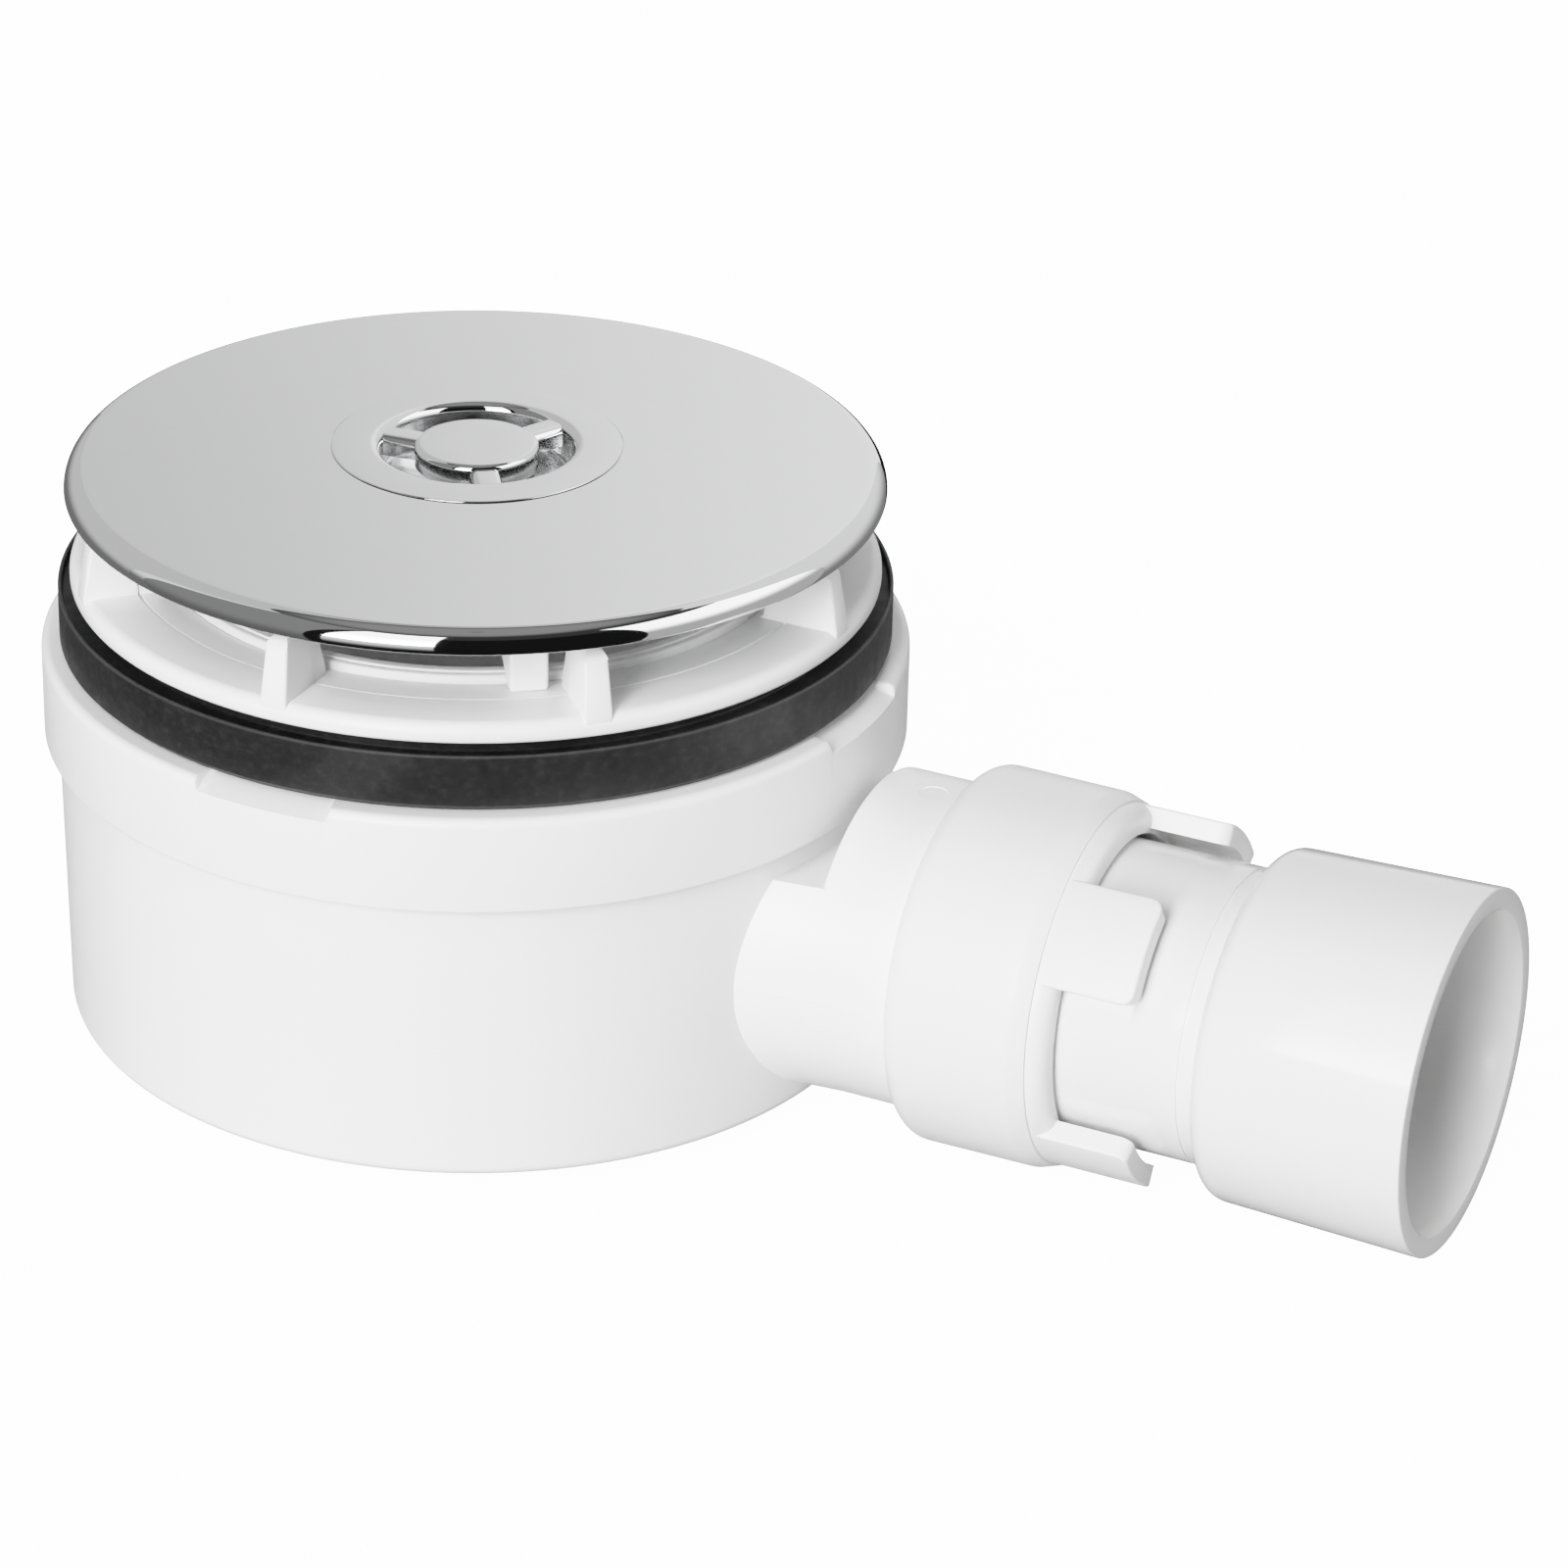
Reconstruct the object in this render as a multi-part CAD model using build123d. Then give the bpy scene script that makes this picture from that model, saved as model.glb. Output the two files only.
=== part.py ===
from build123d import *
import os
from math import sqrt

# A low shower trap for a 90 mm waste hole, in millimetres.
# Origin: waste axis on the underside of the bowl. +Z is up and +X points out of the outlet.

# Heights of the stack, from the underside up
bowl_height = 41.7
ring_height = 13.5
gasket_height = 8.1
seal_thickness = 0.9
flange_thickness = 2.8
cap_lift = 10.15

# Screw-in collar, sized by the waste hole
waste_hole_radius = 45.0
hole_clearance = 1.0
skirt_wall = 2.8
skirt_length = 19.0
thread_clearance = 0.25
flange_width = 12.1
flange_edge_round = 1.7
flange_under_round = 0.5
witness_margin = 4.85
witness_step = 0.15

# Upright ribs of the collar
rib_count = 8
rib_setback = 1.5
rib_inset = 0.2
rib_thickness = 3.4
rib_step = 0.25
rib_corner = 1.3
rib_draft = 2.0
rib_lean = 2.8
rib_top_round = 2.6
rib_gap = 0.6
rib_cap_gap = 2.3

# Lift-out dip tube
rim_ledge = 2.0
rim_height = 3.0
rim_seat_depth = 1.7
rim_fit = 0.2
rim_wall = 2.1
rim_edge_round = 0.4
bead_width = 0.9
bead_drop = 0.3
dip_wall = 1.8
dip_mouth_depth = 6.0
dip_narrowing = 10.0
dip_body_depth = 8.4
dip_cone_depth = 8.0
dip_floor_gap = 4.4
o_ring_section = 2.6
o_ring_drop = 4.6
o_ring_slack = 0.05

# Rubber between the flange and the rim
gasket_overhang = 1.7
gasket_chamfer = 0.9
gasket_round = 0.5
seal_inset = 2.4
rubber_clearance = 0.8

# Top ring with the screwed bore and the notched rim
rim_margin = 2.4
ring_overhang = 0.15
rim_round = 1.0
rim_plate = 3.4
thread_wall = 3.0
thread_depth = 12.5
notch_count = 4
notch_angle = 19.0
notch_depth = 2.1
notch_lip = 0.4

# Bowl
band_step = 2.4
seam_chamfer = 0.3
base_round = 1.6
bowl_draft = 0.6
bowl_wall = 2.6
floor_thickness = 2.8
floor_round = 3.0

# Weir cup, which holds the water of the seal and stands round a ring on the bowl's floor
cup_gap = 4.2
cup_wall = 2.2
cup_fit = 0.2
weir_rise = 3.8
weir_round = 0.6
floor_ring_height = 3.0
floor_ring_wall = 2.0

# Chrome cap
cap_overhang = 0.4
cap_edge_round = 2.9
cap_lip = 0.3
cap_crown = 2.45
cap_wall = 1.4

# Grip in the middle of the cap
grip_proud = 0.2
grip_flange_radius = 20.0
grip_seat_depth = 0.55
grip_recess_radius = 13.3
grip_recess_depth = 5.2
grip_wall = 1.2
grip_mouth_round = 1.4
grip_floor_round = 1.0
grip_disc_radius = 8.6
grip_disc_thickness = 3.4
grip_disc_drop = 0.1
grip_disc_round = 0.7
grip_spoke_count = 3
grip_spoke_width = 4.4
grip_spoke_round = 1.2
grip_spoke_drop = 0.6
grip_angle = -54.4
grip_fit = 0.15
grip_barb = 0.5
grip_barb_height = 0.8

# Carrier under the cap
spider_hub_wall = 2.6
spider_hub_height = 4.0
spider_angle = -53.0
spider_arm_width = 5.1
spider_arm_depth = 3.0
spider_leg_depth = 2.8
spider_leg_gap = 0.4
spider_leg_toe = 1.2
spider_leg_clear = 0.5
spider_leg_round = 0.5
spider_cap_gap = 0.2

# Tail pipe of the outlet and its socket
tail_radius = 20.5
tail_wall = 2.2
tail_fit = 0.25
tail_end_gap = 0.3
tail_visible = 8.75
pipe_step = 1.05
socket_depth = 27.0
socket_wall = 3.65
socket_flare = 0.03
socket_lead = 2.0
socket_lead_rise = 0.75
socket_floor = 3.2
socket_shoulder_round = 2.6
socket_root_round = 0.6
socket_edge_round = 0.5

# Outlet neck on the bowl
neck_clearance = 1.9
neck_visible = 12.5
neck_thread_length = 13.4
neck_thread_wall = 1.75
neck_shoulder = 0.35
neck_back_wall = 2.6
root_drop = 4.4
root_wall = 2.2
cone_seat_length = 2.6
cone_seat_lip = 0.5

# Rings inside the outlet joint
cone_nose_gap = 0.2
cone_shoulder = 4.0
washer_thickness = 1.6
joint_ring_fit = 0.2
seal_slack = 0.02

# Union nut
nut_wall = 3.5
nut_flare = 0.15
nut_shoulder_round = 2.8
nut_end_step = 1.15
nut_end_wall = 4.6
nut_end_round = 2.4
nut_end_land = 0.2
nut_ledge = 0.35
nut_mouth_gap = 0.8
lug_count = 4
lug_phase = 47.0
lug_angle = 35.0
lug_length = 11.0
lug_gap = 1.6
lug_corner_round = 2.0
lug_edge_round = 0.8

# Radii that follow from the waste hole, from the skirt outwards
skirt_radius = waste_hole_radius - hole_clearance
skirt_bore = skirt_radius - skirt_wall
thread_bore = skirt_radius + thread_clearance
rim_radius = skirt_bore + rim_ledge
rim_seat_radius = rim_radius + rim_fit
witness_radius = rim_seat_radius + witness_margin
flange_radius = skirt_radius + flange_width
gasket_radius = flange_radius + gasket_overhang
band_radius = gasket_radius + rim_margin
ring_radius = band_radius + ring_overhang
base_radius = band_radius - band_step
cap_radius = flange_radius + cap_overhang
dip_body_radius = skirt_bore - rim_fit
dip_tube_radius = dip_body_radius - dip_narrowing
cup_radius = dip_tube_radius + cup_gap
cup_outer = cup_radius + cup_wall

# Radii that follow from the tail pipe
waterway_radius = tail_radius - tail_wall
neck_bore = tail_radius + tail_fit
neck_thread_radius = neck_bore + neck_thread_wall
neck_radius = neck_thread_radius + neck_shoulder
nut_bore = neck_thread_radius + thread_clearance
nut_radius = nut_bore + nut_wall
nut_end_radius = nut_radius - nut_end_step
nut_mouth_radius = tail_radius + nut_mouth_gap
lug_inner = tail_radius + lug_gap
socket_bore = tail_radius + pipe_step
socket_radius = socket_bore + socket_wall

# Heights that follow
seam_z = bowl_height
root_top = seam_z - root_drop
weir_top = seam_z + weir_rise
rim_z = seam_z + ring_height
gasket_top = rim_z + gasket_height
flange_under = gasket_top + seal_thickness
flange_top = flange_under + flange_thickness
seat_z = flange_top - rim_seat_depth
rim_top = seat_z + rim_height
cap_bottom = flange_top + cap_lift
cap_edge_z = cap_bottom + cap_lip
cap_shoulder_radius = cap_radius - cap_edge_round
cap_shoulder_z = cap_edge_z + cap_edge_round
cap_top = cap_shoulder_z + cap_crown
grip_top = cap_top + grip_proud
grip_seat = cap_top - grip_seat_depth
grip_floor = grip_top - grip_recess_depth
grip_spigot_radius = grip_recess_radius + grip_wall
grip_hole_radius = grip_spigot_radius + grip_fit
outlet_height = neck_radius

# Stations along the outlet that follow
neck_start = band_radius + neck_clearance
neck_stop = neck_start + neck_back_wall
neck_thread_start = neck_start + neck_visible
neck_end = neck_thread_start + neck_thread_length
nut_end_face = neck_end + cone_shoulder + washer_thickness
nut_end = nut_end_face + nut_end_wall
nut_ledge_x = nut_end - nut_end_round - nut_end_land
lug_end = nut_end + lug_length
socket_root = lug_end + tail_visible
socket_stop = socket_root + socket_floor
socket_mouth = socket_stop + socket_depth

outlet_axis = Axis((0, 0, outlet_height), (1, 0, 0))


def section(corners):
    """Closed face in the XZ plane from (x, z, round) corners."""
    points = [(x, z) for x, z, _ in corners]
    rounds = [corner_round for _, _, corner_round in corners]
    return Plane.XZ * make_face(FilletPolyline(*points, radius=rounds, close=True))


def turned(corners):
    """Solid of revolution about the waste axis, from (radius, height, round) corners."""
    return revolve(section(corners), Axis.Z)


def turned_on_outlet(corners, arc=360.0):
    """Solid of revolution about the outlet axis, from (station, radius, round) corners."""
    lifted = [(x, outlet_height + radius, corner_round) for x, radius, corner_round in corners]
    return revolve(section(lifted), outlet_axis, arc)


def around(shape, count, first=0.0):
    """Equal copies of a shape about the waste axis."""
    return [shape.rotate(Axis.Z, first + 360.0 * i / count) for i in range(count)]


def outlet_cylinder(radius, start, end):
    """Round bar on the outlet axis between two stations."""
    return turned_on_outlet([(start, 0, 0), (end, 0, 0), (end, radius, 0), (start, radius, 0)])


def block_above(height):
    """Block over the outlet's root and neck from a height up."""
    reach = 2 * neck_radius
    block = Box(neck_end, reach, reach, align=(Align.MIN, Align.CENTER, Align.MIN))
    return Pos(0, 0, height) * block


def dome_height(radius, crown_z):
    """Height of the cap's spherical top, or of a surface parallel to it, at a radius."""
    sphere = (cap_shoulder_radius**2 + cap_crown**2) / (2 * cap_crown)
    return crown_z - sphere + sqrt(sphere**2 - radius**2)


def rib_bar(start, end, thickness, corner):
    """Tapering upright bar of a rib between two radii, rooted in the flange."""
    foot = flange_under + flange_thickness / 2
    outline = RectangleRounded(end - start, thickness, corner)
    return extrude(Pos((start + end) / 2, 0, foot) * outline, cap_top - foot, taper=rib_draft)


def hub_bottom_z():
    """Underside of the carrier's hub, which the grip's barb holds."""
    return dome_height(grip_hole_radius, cap_top - cap_wall) - spider_cap_gap - spider_hub_height


def save(shape, node):
    """Write one piece under its own name."""
    export_step(shape, f"parts/{node}.step")


def make_bowl():
    shoulder = base_radius + bowl_draft
    floor_ring_outer = cup_radius - cup_fit
    floor_ring_inner = floor_ring_outer - floor_ring_wall
    floor_ring_top = floor_thickness + floor_ring_height
    vessel = turned(
        [
            (0, 0, 0),
            (base_radius, 0, base_round),
            (shoulder, seam_z, 0),
            (shoulder - bowl_wall, seam_z, 0),
            (base_radius - bowl_wall, floor_thickness, floor_round),
            (floor_ring_outer, floor_thickness, 0),
            (floor_ring_outer, floor_ring_top, weir_round),
            (floor_ring_inner, floor_ring_top, weir_round),
            (floor_ring_inner, floor_thickness, 0),
            (0, floor_thickness, 0),
        ]
    )
    root_start = base_radius - 2 * bowl_wall
    root = outlet_cylinder(neck_radius, root_start, neck_start) - block_above(root_top)
    hollow = turned(
        [
            (0, floor_thickness, 0),
            (base_radius - bowl_wall, floor_thickness, floor_round),
            (shoulder - bowl_wall, seam_z, 0),
            (0, seam_z, 0),
        ]
    )
    neck = turned_on_outlet(
        [
            (neck_start, 0, 0),
            (neck_end, 0, 0),
            (neck_end, neck_thread_radius, 0),
            (neck_thread_start, neck_thread_radius, 0),
            (neck_thread_start, neck_radius, 0),
            (neck_start, neck_radius, 0),
        ]
    )
    root_water = outlet_cylinder(waterway_radius, cup_outer + bowl_wall, neck_stop)
    root_water -= block_above(root_top - root_wall)
    joint_water = turned_on_outlet(
        [
            (neck_stop, 0, 0),
            (neck_end, 0, 0),
            (neck_end, neck_thread_radius - cone_seat_lip, 0),
            (neck_end - cone_seat_length, neck_bore, 0),
            (neck_stop, neck_bore, 0),
        ]
    )
    return vessel + (root - hollow) + neck - root_water - joint_water


def make_weir_cup():
    return turned(
        [
            (cup_radius, floor_thickness, 0),
            (cup_outer, floor_thickness, 0),
            (cup_outer, weir_top, weir_round),
            (cup_radius, weir_top, weir_round),
        ]
    )


def make_top_ring():
    band_inner = base_radius + bowl_draft - bowl_wall
    plate_under = rim_z - rim_plate
    tube_bottom = rim_z - thread_depth
    tube_outer = thread_bore + thread_wall
    ring = turned(
        [
            (band_inner, seam_z, 0),
            (ring_radius - seam_chamfer, seam_z, 0),
            (ring_radius, seam_z + seam_chamfer, 0),
            (ring_radius, rim_z, rim_round),
            (thread_bore, rim_z, 0),
            (thread_bore, tube_bottom, 0),
            (tube_outer, tube_bottom, 0),
            (tube_outer, plate_under, rim_round),
            (band_inner, plate_under, rim_round),
        ]
    )
    notch_section = section(
        [
            (gasket_radius - gasket_chamfer, rim_z - notch_lip, 0),
            (ring_radius + notch_depth, rim_z - notch_lip - notch_depth, 0),
            (ring_radius + notch_depth, rim_z + notch_depth, 0),
            (gasket_radius - gasket_chamfer, rim_z + notch_depth, 0),
        ]
    )
    notch = revolve(notch_section, Axis.Z, notch_angle)
    return ring - around(notch, notch_count, -notch_angle / 2)


def make_tray_gasket():
    inner = skirt_radius + rubber_clearance
    return turned(
        [
            (inner, rim_z, 0),
            (gasket_radius - gasket_chamfer, rim_z, 0),
            (gasket_radius, rim_z + gasket_chamfer, 0),
            (gasket_radius, gasket_top, gasket_round),
            (inner, gasket_top, 0),
        ]
    )


def make_flange_seal():
    inner = skirt_radius + rubber_clearance
    outer = flange_radius - flange_under_round - seal_inset
    return turned(
        [
            (inner, gasket_top, 0),
            (outer, gasket_top, 0),
            (outer, flange_under, 0),
            (inner, flange_under, 0),
        ]
    )


def make_flange_collar():
    inner_top = flange_top - witness_step
    skirt_bottom = flange_under - skirt_length
    collar = turned(
        [
            (skirt_bore, skirt_bottom, 0),
            (skirt_radius, skirt_bottom, seam_chamfer),
            (skirt_radius, flange_under, 0),
            (flange_radius, flange_under, flange_under_round),
            (flange_radius, flange_top, flange_edge_round),
            (witness_radius, flange_top, 0),
            (witness_radius, inner_top, 0),
            (rim_seat_radius, inner_top, 0),
            (rim_seat_radius, seat_z, 0),
            (skirt_bore, seat_z, 0),
        ]
    )
    rib_inner = rim_radius + rib_setback
    rib_outer = flange_radius - rib_inset
    rib_middle = (witness_radius + rib_outer) / 2
    plate = rib_bar(rib_inner, rib_middle, rib_thickness - 2 * rib_step, rib_corner - rib_step)
    block = rib_bar(witness_radius, rib_outer, rib_thickness, rib_corner)
    under_crown = cap_top - cap_wall - rib_cap_gap
    lip_clear = cap_radius - cap_wall - rib_gap
    lean_top = rib_inner + rib_lean
    envelope = turned(
        [
            (rib_inner, flange_under, 0),
            (rib_outer, flange_under, 0),
            (rib_outer, flange_top, 0),
            (lip_clear, dome_height(lip_clear, under_crown), rib_top_round),
            (lean_top, dome_height(lean_top, under_crown), rib_corner),
            (rib_inner, flange_top, 0),
        ]
    )
    return collar + around((plate + block) & envelope, rib_count)


def make_dip_tube():
    body_bottom = seat_z - dip_body_depth
    cone_bottom = body_bottom - dip_cone_depth
    tube_bottom = floor_thickness + dip_floor_gap
    tube_inner = dip_tube_radius - dip_wall
    body_inner = dip_body_radius - o_ring_section - dip_wall
    groove_middle = seat_z - o_ring_drop
    groove_half = o_ring_section / 2 + o_ring_slack
    groove_floor = skirt_bore - o_ring_section
    bead_top = rim_top - bead_drop
    return turned(
        [
            (tube_inner, tube_bottom, 0),
            (dip_tube_radius, tube_bottom, 0),
            (dip_tube_radius, cone_bottom, floor_round),
            (dip_body_radius, body_bottom, 0),
            (dip_body_radius, groove_middle - groove_half, 0),
            (groove_floor, groove_middle - groove_half, 0),
            (groove_floor, groove_middle + groove_half, 0),
            (dip_body_radius, groove_middle + groove_half, 0),
            (dip_body_radius, seat_z, 0),
            (rim_radius, seat_z, 0),
            (rim_radius, bead_top, rim_edge_round),
            (rim_radius - bead_width, bead_top, 0),
            (rim_radius - bead_width, rim_top, bead_drop / 2),
            (rim_radius - rim_wall, rim_top, rim_edge_round),
            (body_inner, rim_top - dip_mouth_depth, 0),
            (body_inner, body_bottom, floor_round),
            (tube_inner, cone_bottom, floor_round),
        ]
    )


def make_dip_tube_o_ring():
    section_radius = o_ring_section / 2 - o_ring_slack
    middle = skirt_bore - o_ring_section / 2
    return Pos(0, 0, seat_z - o_ring_drop) * Torus(middle, section_radius)


def make_cap_dome():
    inner_crown = cap_top - cap_wall
    inner_shoulder_z = dome_height(cap_shoulder_radius, inner_crown)
    inner_edge = cap_radius - cap_wall
    inner_bend = cap_edge_round - cap_wall
    half = cap_shoulder_radius / 2
    crown = (0, cap_top)
    slope = (half, dome_height(half, cap_top))
    shoulder = (cap_shoulder_radius, cap_shoulder_z)
    bend = (cap_shoulder_radius + sqrt(cap_edge_round**2 / 2), cap_edge_z + sqrt(cap_edge_round**2 / 2))
    edge = (cap_radius, cap_edge_z)
    lip = (cap_radius, cap_bottom)
    lip_under = (inner_edge, cap_bottom)
    edge_under = (inner_edge, cap_edge_z)
    bend_under = (cap_shoulder_radius + sqrt(inner_bend**2 / 2), cap_edge_z + sqrt(inner_bend**2 / 2))
    shoulder_under = (cap_shoulder_radius, inner_shoulder_z)
    slope_under = (half, dome_height(half, inner_crown))
    crown_under = (0, inner_crown)
    outline = Curve() + [
        ThreePointArc(crown, slope, shoulder),
        ThreePointArc(shoulder, bend, edge),
        Polyline(edge, lip, lip_under, edge_under),
        ThreePointArc(edge_under, bend_under, shoulder_under),
        ThreePointArc(shoulder_under, slope_under, crown_under),
        Line(crown_under, crown),
    ]
    dome = revolve(Plane.XZ * make_face(outline), Axis.Z)
    seat = Pos(0, 0, grip_seat) * Cylinder(
        grip_flange_radius + grip_fit,
        cap_wall,
        align=(Align.CENTER, Align.CENTER, Align.MIN),
    )
    hole = Pos(0, 0, cap_bottom) * Cylinder(
        grip_hole_radius,
        cap_top - cap_bottom,
        align=(Align.CENTER, Align.CENTER, Align.MIN),
    )
    return dome - seat - hole


def make_cap_grip():
    barb_top = hub_bottom_z()
    barb_bottom = barb_top - grip_barb_height
    cup = turned(
        [
            (0, grip_floor - grip_wall, 0),
            (grip_recess_radius, grip_floor - grip_wall, 0),
            (grip_recess_radius, barb_bottom, 0),
            (grip_spigot_radius, barb_bottom, 0),
            (grip_spigot_radius + grip_barb, barb_top, 0),
            (grip_spigot_radius, barb_top, 0),
            (grip_spigot_radius, grip_seat, 0),
            (grip_flange_radius, grip_seat, 0),
            (grip_flange_radius, dome_height(grip_flange_radius, grip_top), 0),
            (grip_recess_radius, dome_height(grip_recess_radius, grip_top), grip_mouth_round),
            (grip_recess_radius, grip_floor, grip_floor_round),
            (0, grip_floor, 0),
        ]
    )
    disc_top = grip_top - grip_disc_drop
    disc_under = disc_top - grip_disc_thickness
    disc = turned(
        [
            (0, disc_under, 0),
            (grip_disc_radius, disc_under, 0),
            (grip_disc_radius, disc_top, grip_disc_round),
            (0, disc_top, 0),
        ]
    )
    spoke_reach = grip_recess_radius + grip_wall / 2 - grip_disc_radius / 2
    bar = Pos(grip_disc_radius / 2, 0, disc_under) * Box(
        spoke_reach,
        grip_spoke_width,
        grip_disc_thickness - grip_spoke_drop,
        align=(Align.MIN, Align.CENTER, Align.MIN),
    )
    crests = bar.edges().filter_by(Axis.X).group_by(Axis.Z)[-1]
    spoke = fillet(crests, grip_spoke_round)
    return cup + disc + around(spoke, grip_spoke_count, grip_angle)


def make_cap_spider():
    hub_bottom = hub_bottom_z()
    hub_inner = grip_hole_radius
    hub_outer = hub_inner + spider_hub_wall
    hub_top = dome_height(hub_outer, cap_top - cap_wall) - spider_cap_gap
    hub = turned(
        [
            (hub_inner, hub_bottom, 0),
            (hub_outer, hub_bottom, 0),
            (hub_outer, hub_top, 0),
            (hub_inner, hub_top, 0),
        ]
    )
    leg_outer = rim_radius + spider_leg_gap + spider_leg_depth
    leg_toe = leg_outer - spider_leg_toe
    arm_top = dome_height(leg_outer, cap_top - cap_wall) - spider_cap_gap
    arm_under = arm_top - spider_arm_depth
    foot = flange_top - witness_step
    lean = (leg_toe - rim_radius) / (rim_top + spider_leg_clear - foot)
    start = (hub_inner + hub_outer) / 2
    arm_face = Plane.XZ * make_face(
        Polyline(
            (start, arm_under),
            (leg_toe - lean * (arm_under - foot), arm_under),
            (leg_toe, foot),
            (leg_outer, foot),
            (leg_outer, arm_top),
            (start, arm_top),
            close=True,
        )
    )
    arm = extrude(arm_face, spider_arm_width / 2, both=True)
    corners = arm.edges().filter_by(Axis.Z).group_by(Axis.X)[-1]
    arm = fillet(corners, spider_leg_round)
    return hub + around(arm, grip_spoke_count, spider_angle)


def make_cone_seal():
    inner = tail_radius + seal_slack
    nose = neck_end - cone_seat_length + cone_nose_gap
    seat_top = neck_thread_radius - cone_seat_lip
    slope = (seat_top - neck_bore) / cone_seat_length
    nose_radius = neck_bore + slope * cone_nose_gap - seal_slack
    outer = nut_bore - joint_ring_fit
    back = neck_end + cone_shoulder
    return turned_on_outlet(
        [
            (nose, inner, 0),
            (back, inner, 0),
            (back, outer, 0),
            (neck_end, outer, 0),
            (neck_end, seat_top - seal_slack, 0),
            (nose, nose_radius, 0),
        ]
    )


def make_slip_washer():
    front = neck_end + cone_shoulder
    inner = tail_radius + joint_ring_fit
    outer = nut_bore - joint_ring_fit
    return turned_on_outlet(
        [
            (front, inner, 0),
            (front + washer_thickness, inner, 0),
            (front + washer_thickness, outer, 0),
            (front, outer, 0),
        ]
    )


def make_union_nut():
    ledge_radius = nut_end_radius + nut_ledge
    shell = turned_on_outlet(
        [
            (neck_thread_start, nut_bore, 0),
            (nut_end_face, nut_bore, 0),
            (nut_end_face, nut_mouth_radius, 0),
            (nut_end, nut_mouth_radius, 0),
            (nut_end, nut_end_radius, nut_end_round),
            (nut_ledge_x, nut_end_radius, 0),
            (nut_ledge_x, ledge_radius, 0),
            (nut_ledge_x - nut_end_round, nut_radius, nut_end_round),
            (neck_thread_start, nut_radius + nut_flare, nut_shoulder_round),
        ]
    )
    lug = turned_on_outlet(
        [
            (nut_ledge_x, lug_inner, 0),
            (lug_end, lug_inner, 0),
            (lug_end, nut_end_radius, 0),
            (nut_ledge_x, nut_end_radius, 0),
        ],
        lug_angle,
    )
    end_face = lug.faces().sort_by(Axis.X)[-1]
    corners = [edge for edge in end_face.edges() if edge.geom_type == GeomType.LINE]
    lug = fillet(corners, lug_corner_round)
    outer_face = lug.faces().filter_by(GeomType.CYLINDER).sort_by(SortBy.AREA)[-1]
    rims = [edge for edge in outer_face.edges() if edge.center().X > nut_ledge_x + lug_edge_round]
    lug = fillet(rims, lug_edge_round)
    lugs = [
        lug.rotate(outlet_axis, lug_phase - lug_angle / 2 + 360.0 * i / lug_count)
        for i in range(lug_count)
    ]
    return shell + lugs


def make_outlet_tail():
    neck_side = neck_stop + tail_end_gap
    socket_small = socket_radius - socket_flare * (socket_mouth - socket_root)
    return turned_on_outlet(
        [
            (neck_side, waterway_radius, 0),
            (socket_stop, waterway_radius, 0),
            (socket_stop, socket_bore, 0),
            (socket_mouth - socket_lead, socket_bore, 0),
            (socket_mouth, socket_bore + socket_lead_rise, 0),
            (socket_mouth, socket_radius, socket_edge_round),
            (socket_root, socket_small, socket_shoulder_round),
            (socket_root, tail_radius, socket_root_round),
            (neck_side, tail_radius, 0),
        ]
    )


os.makedirs("parts", exist_ok=True)
save(make_bowl(), "bowl")
save(make_weir_cup(), "weir_cup")
save(make_top_ring(), "top_ring")
save(make_tray_gasket(), "tray_gasket")
save(make_flange_seal(), "flange_seal")
save(make_flange_collar(), "flange_collar")
save(make_dip_tube(), "dip_tube")
save(make_dip_tube_o_ring(), "dip_tube_o_ring")
save(make_cap_dome(), "cap_dome")
save(make_cap_grip(), "cap_grip")
save(make_cap_spider(), "cap_spider")
save(make_cone_seal(), "cone_seal")
save(make_slip_washer(), "slip_washer")
save(make_union_nut(), "union_nut")
save(make_outlet_tail(), "outlet_tail")
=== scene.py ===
from math import atan2, copysign, cos, exp, hypot, pi, radians, sin, sqrt, tan

import bmesh
import bpy
from mathutils import Matrix, Vector


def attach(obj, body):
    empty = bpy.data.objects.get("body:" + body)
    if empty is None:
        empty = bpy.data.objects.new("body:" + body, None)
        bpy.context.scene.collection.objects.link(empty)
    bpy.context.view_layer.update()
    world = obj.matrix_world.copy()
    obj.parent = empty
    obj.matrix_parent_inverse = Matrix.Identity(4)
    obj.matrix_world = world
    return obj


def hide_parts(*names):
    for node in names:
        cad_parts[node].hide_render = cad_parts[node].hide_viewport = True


# The looks of a shower trap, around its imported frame. Sizes are in millimetres until a piece is finished.
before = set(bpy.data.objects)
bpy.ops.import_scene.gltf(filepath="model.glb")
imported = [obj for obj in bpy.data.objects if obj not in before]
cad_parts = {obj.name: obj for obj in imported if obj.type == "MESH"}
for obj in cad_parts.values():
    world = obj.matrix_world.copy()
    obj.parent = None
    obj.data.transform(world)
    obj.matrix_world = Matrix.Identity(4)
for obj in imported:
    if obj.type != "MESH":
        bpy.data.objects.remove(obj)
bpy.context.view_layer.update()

MM = 0.001
FULL_TURN = 2 * pi
TURN_STEPS = 240
SMALL_ROUND_STEPS, LARGE_ROUND_STEPS = 4, 8
MERGE_DISTANCE = 1e-4
TOLERANCE = 1e-3
CUT_OVERLAP = 1.0
SHARP_ANGLE = radians(34)
CREASE_ANGLE = radians(60)
WASTE_AXIS = (0, 0, 1)
OUTLET_AXIS = (1, 0, 0)

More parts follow.
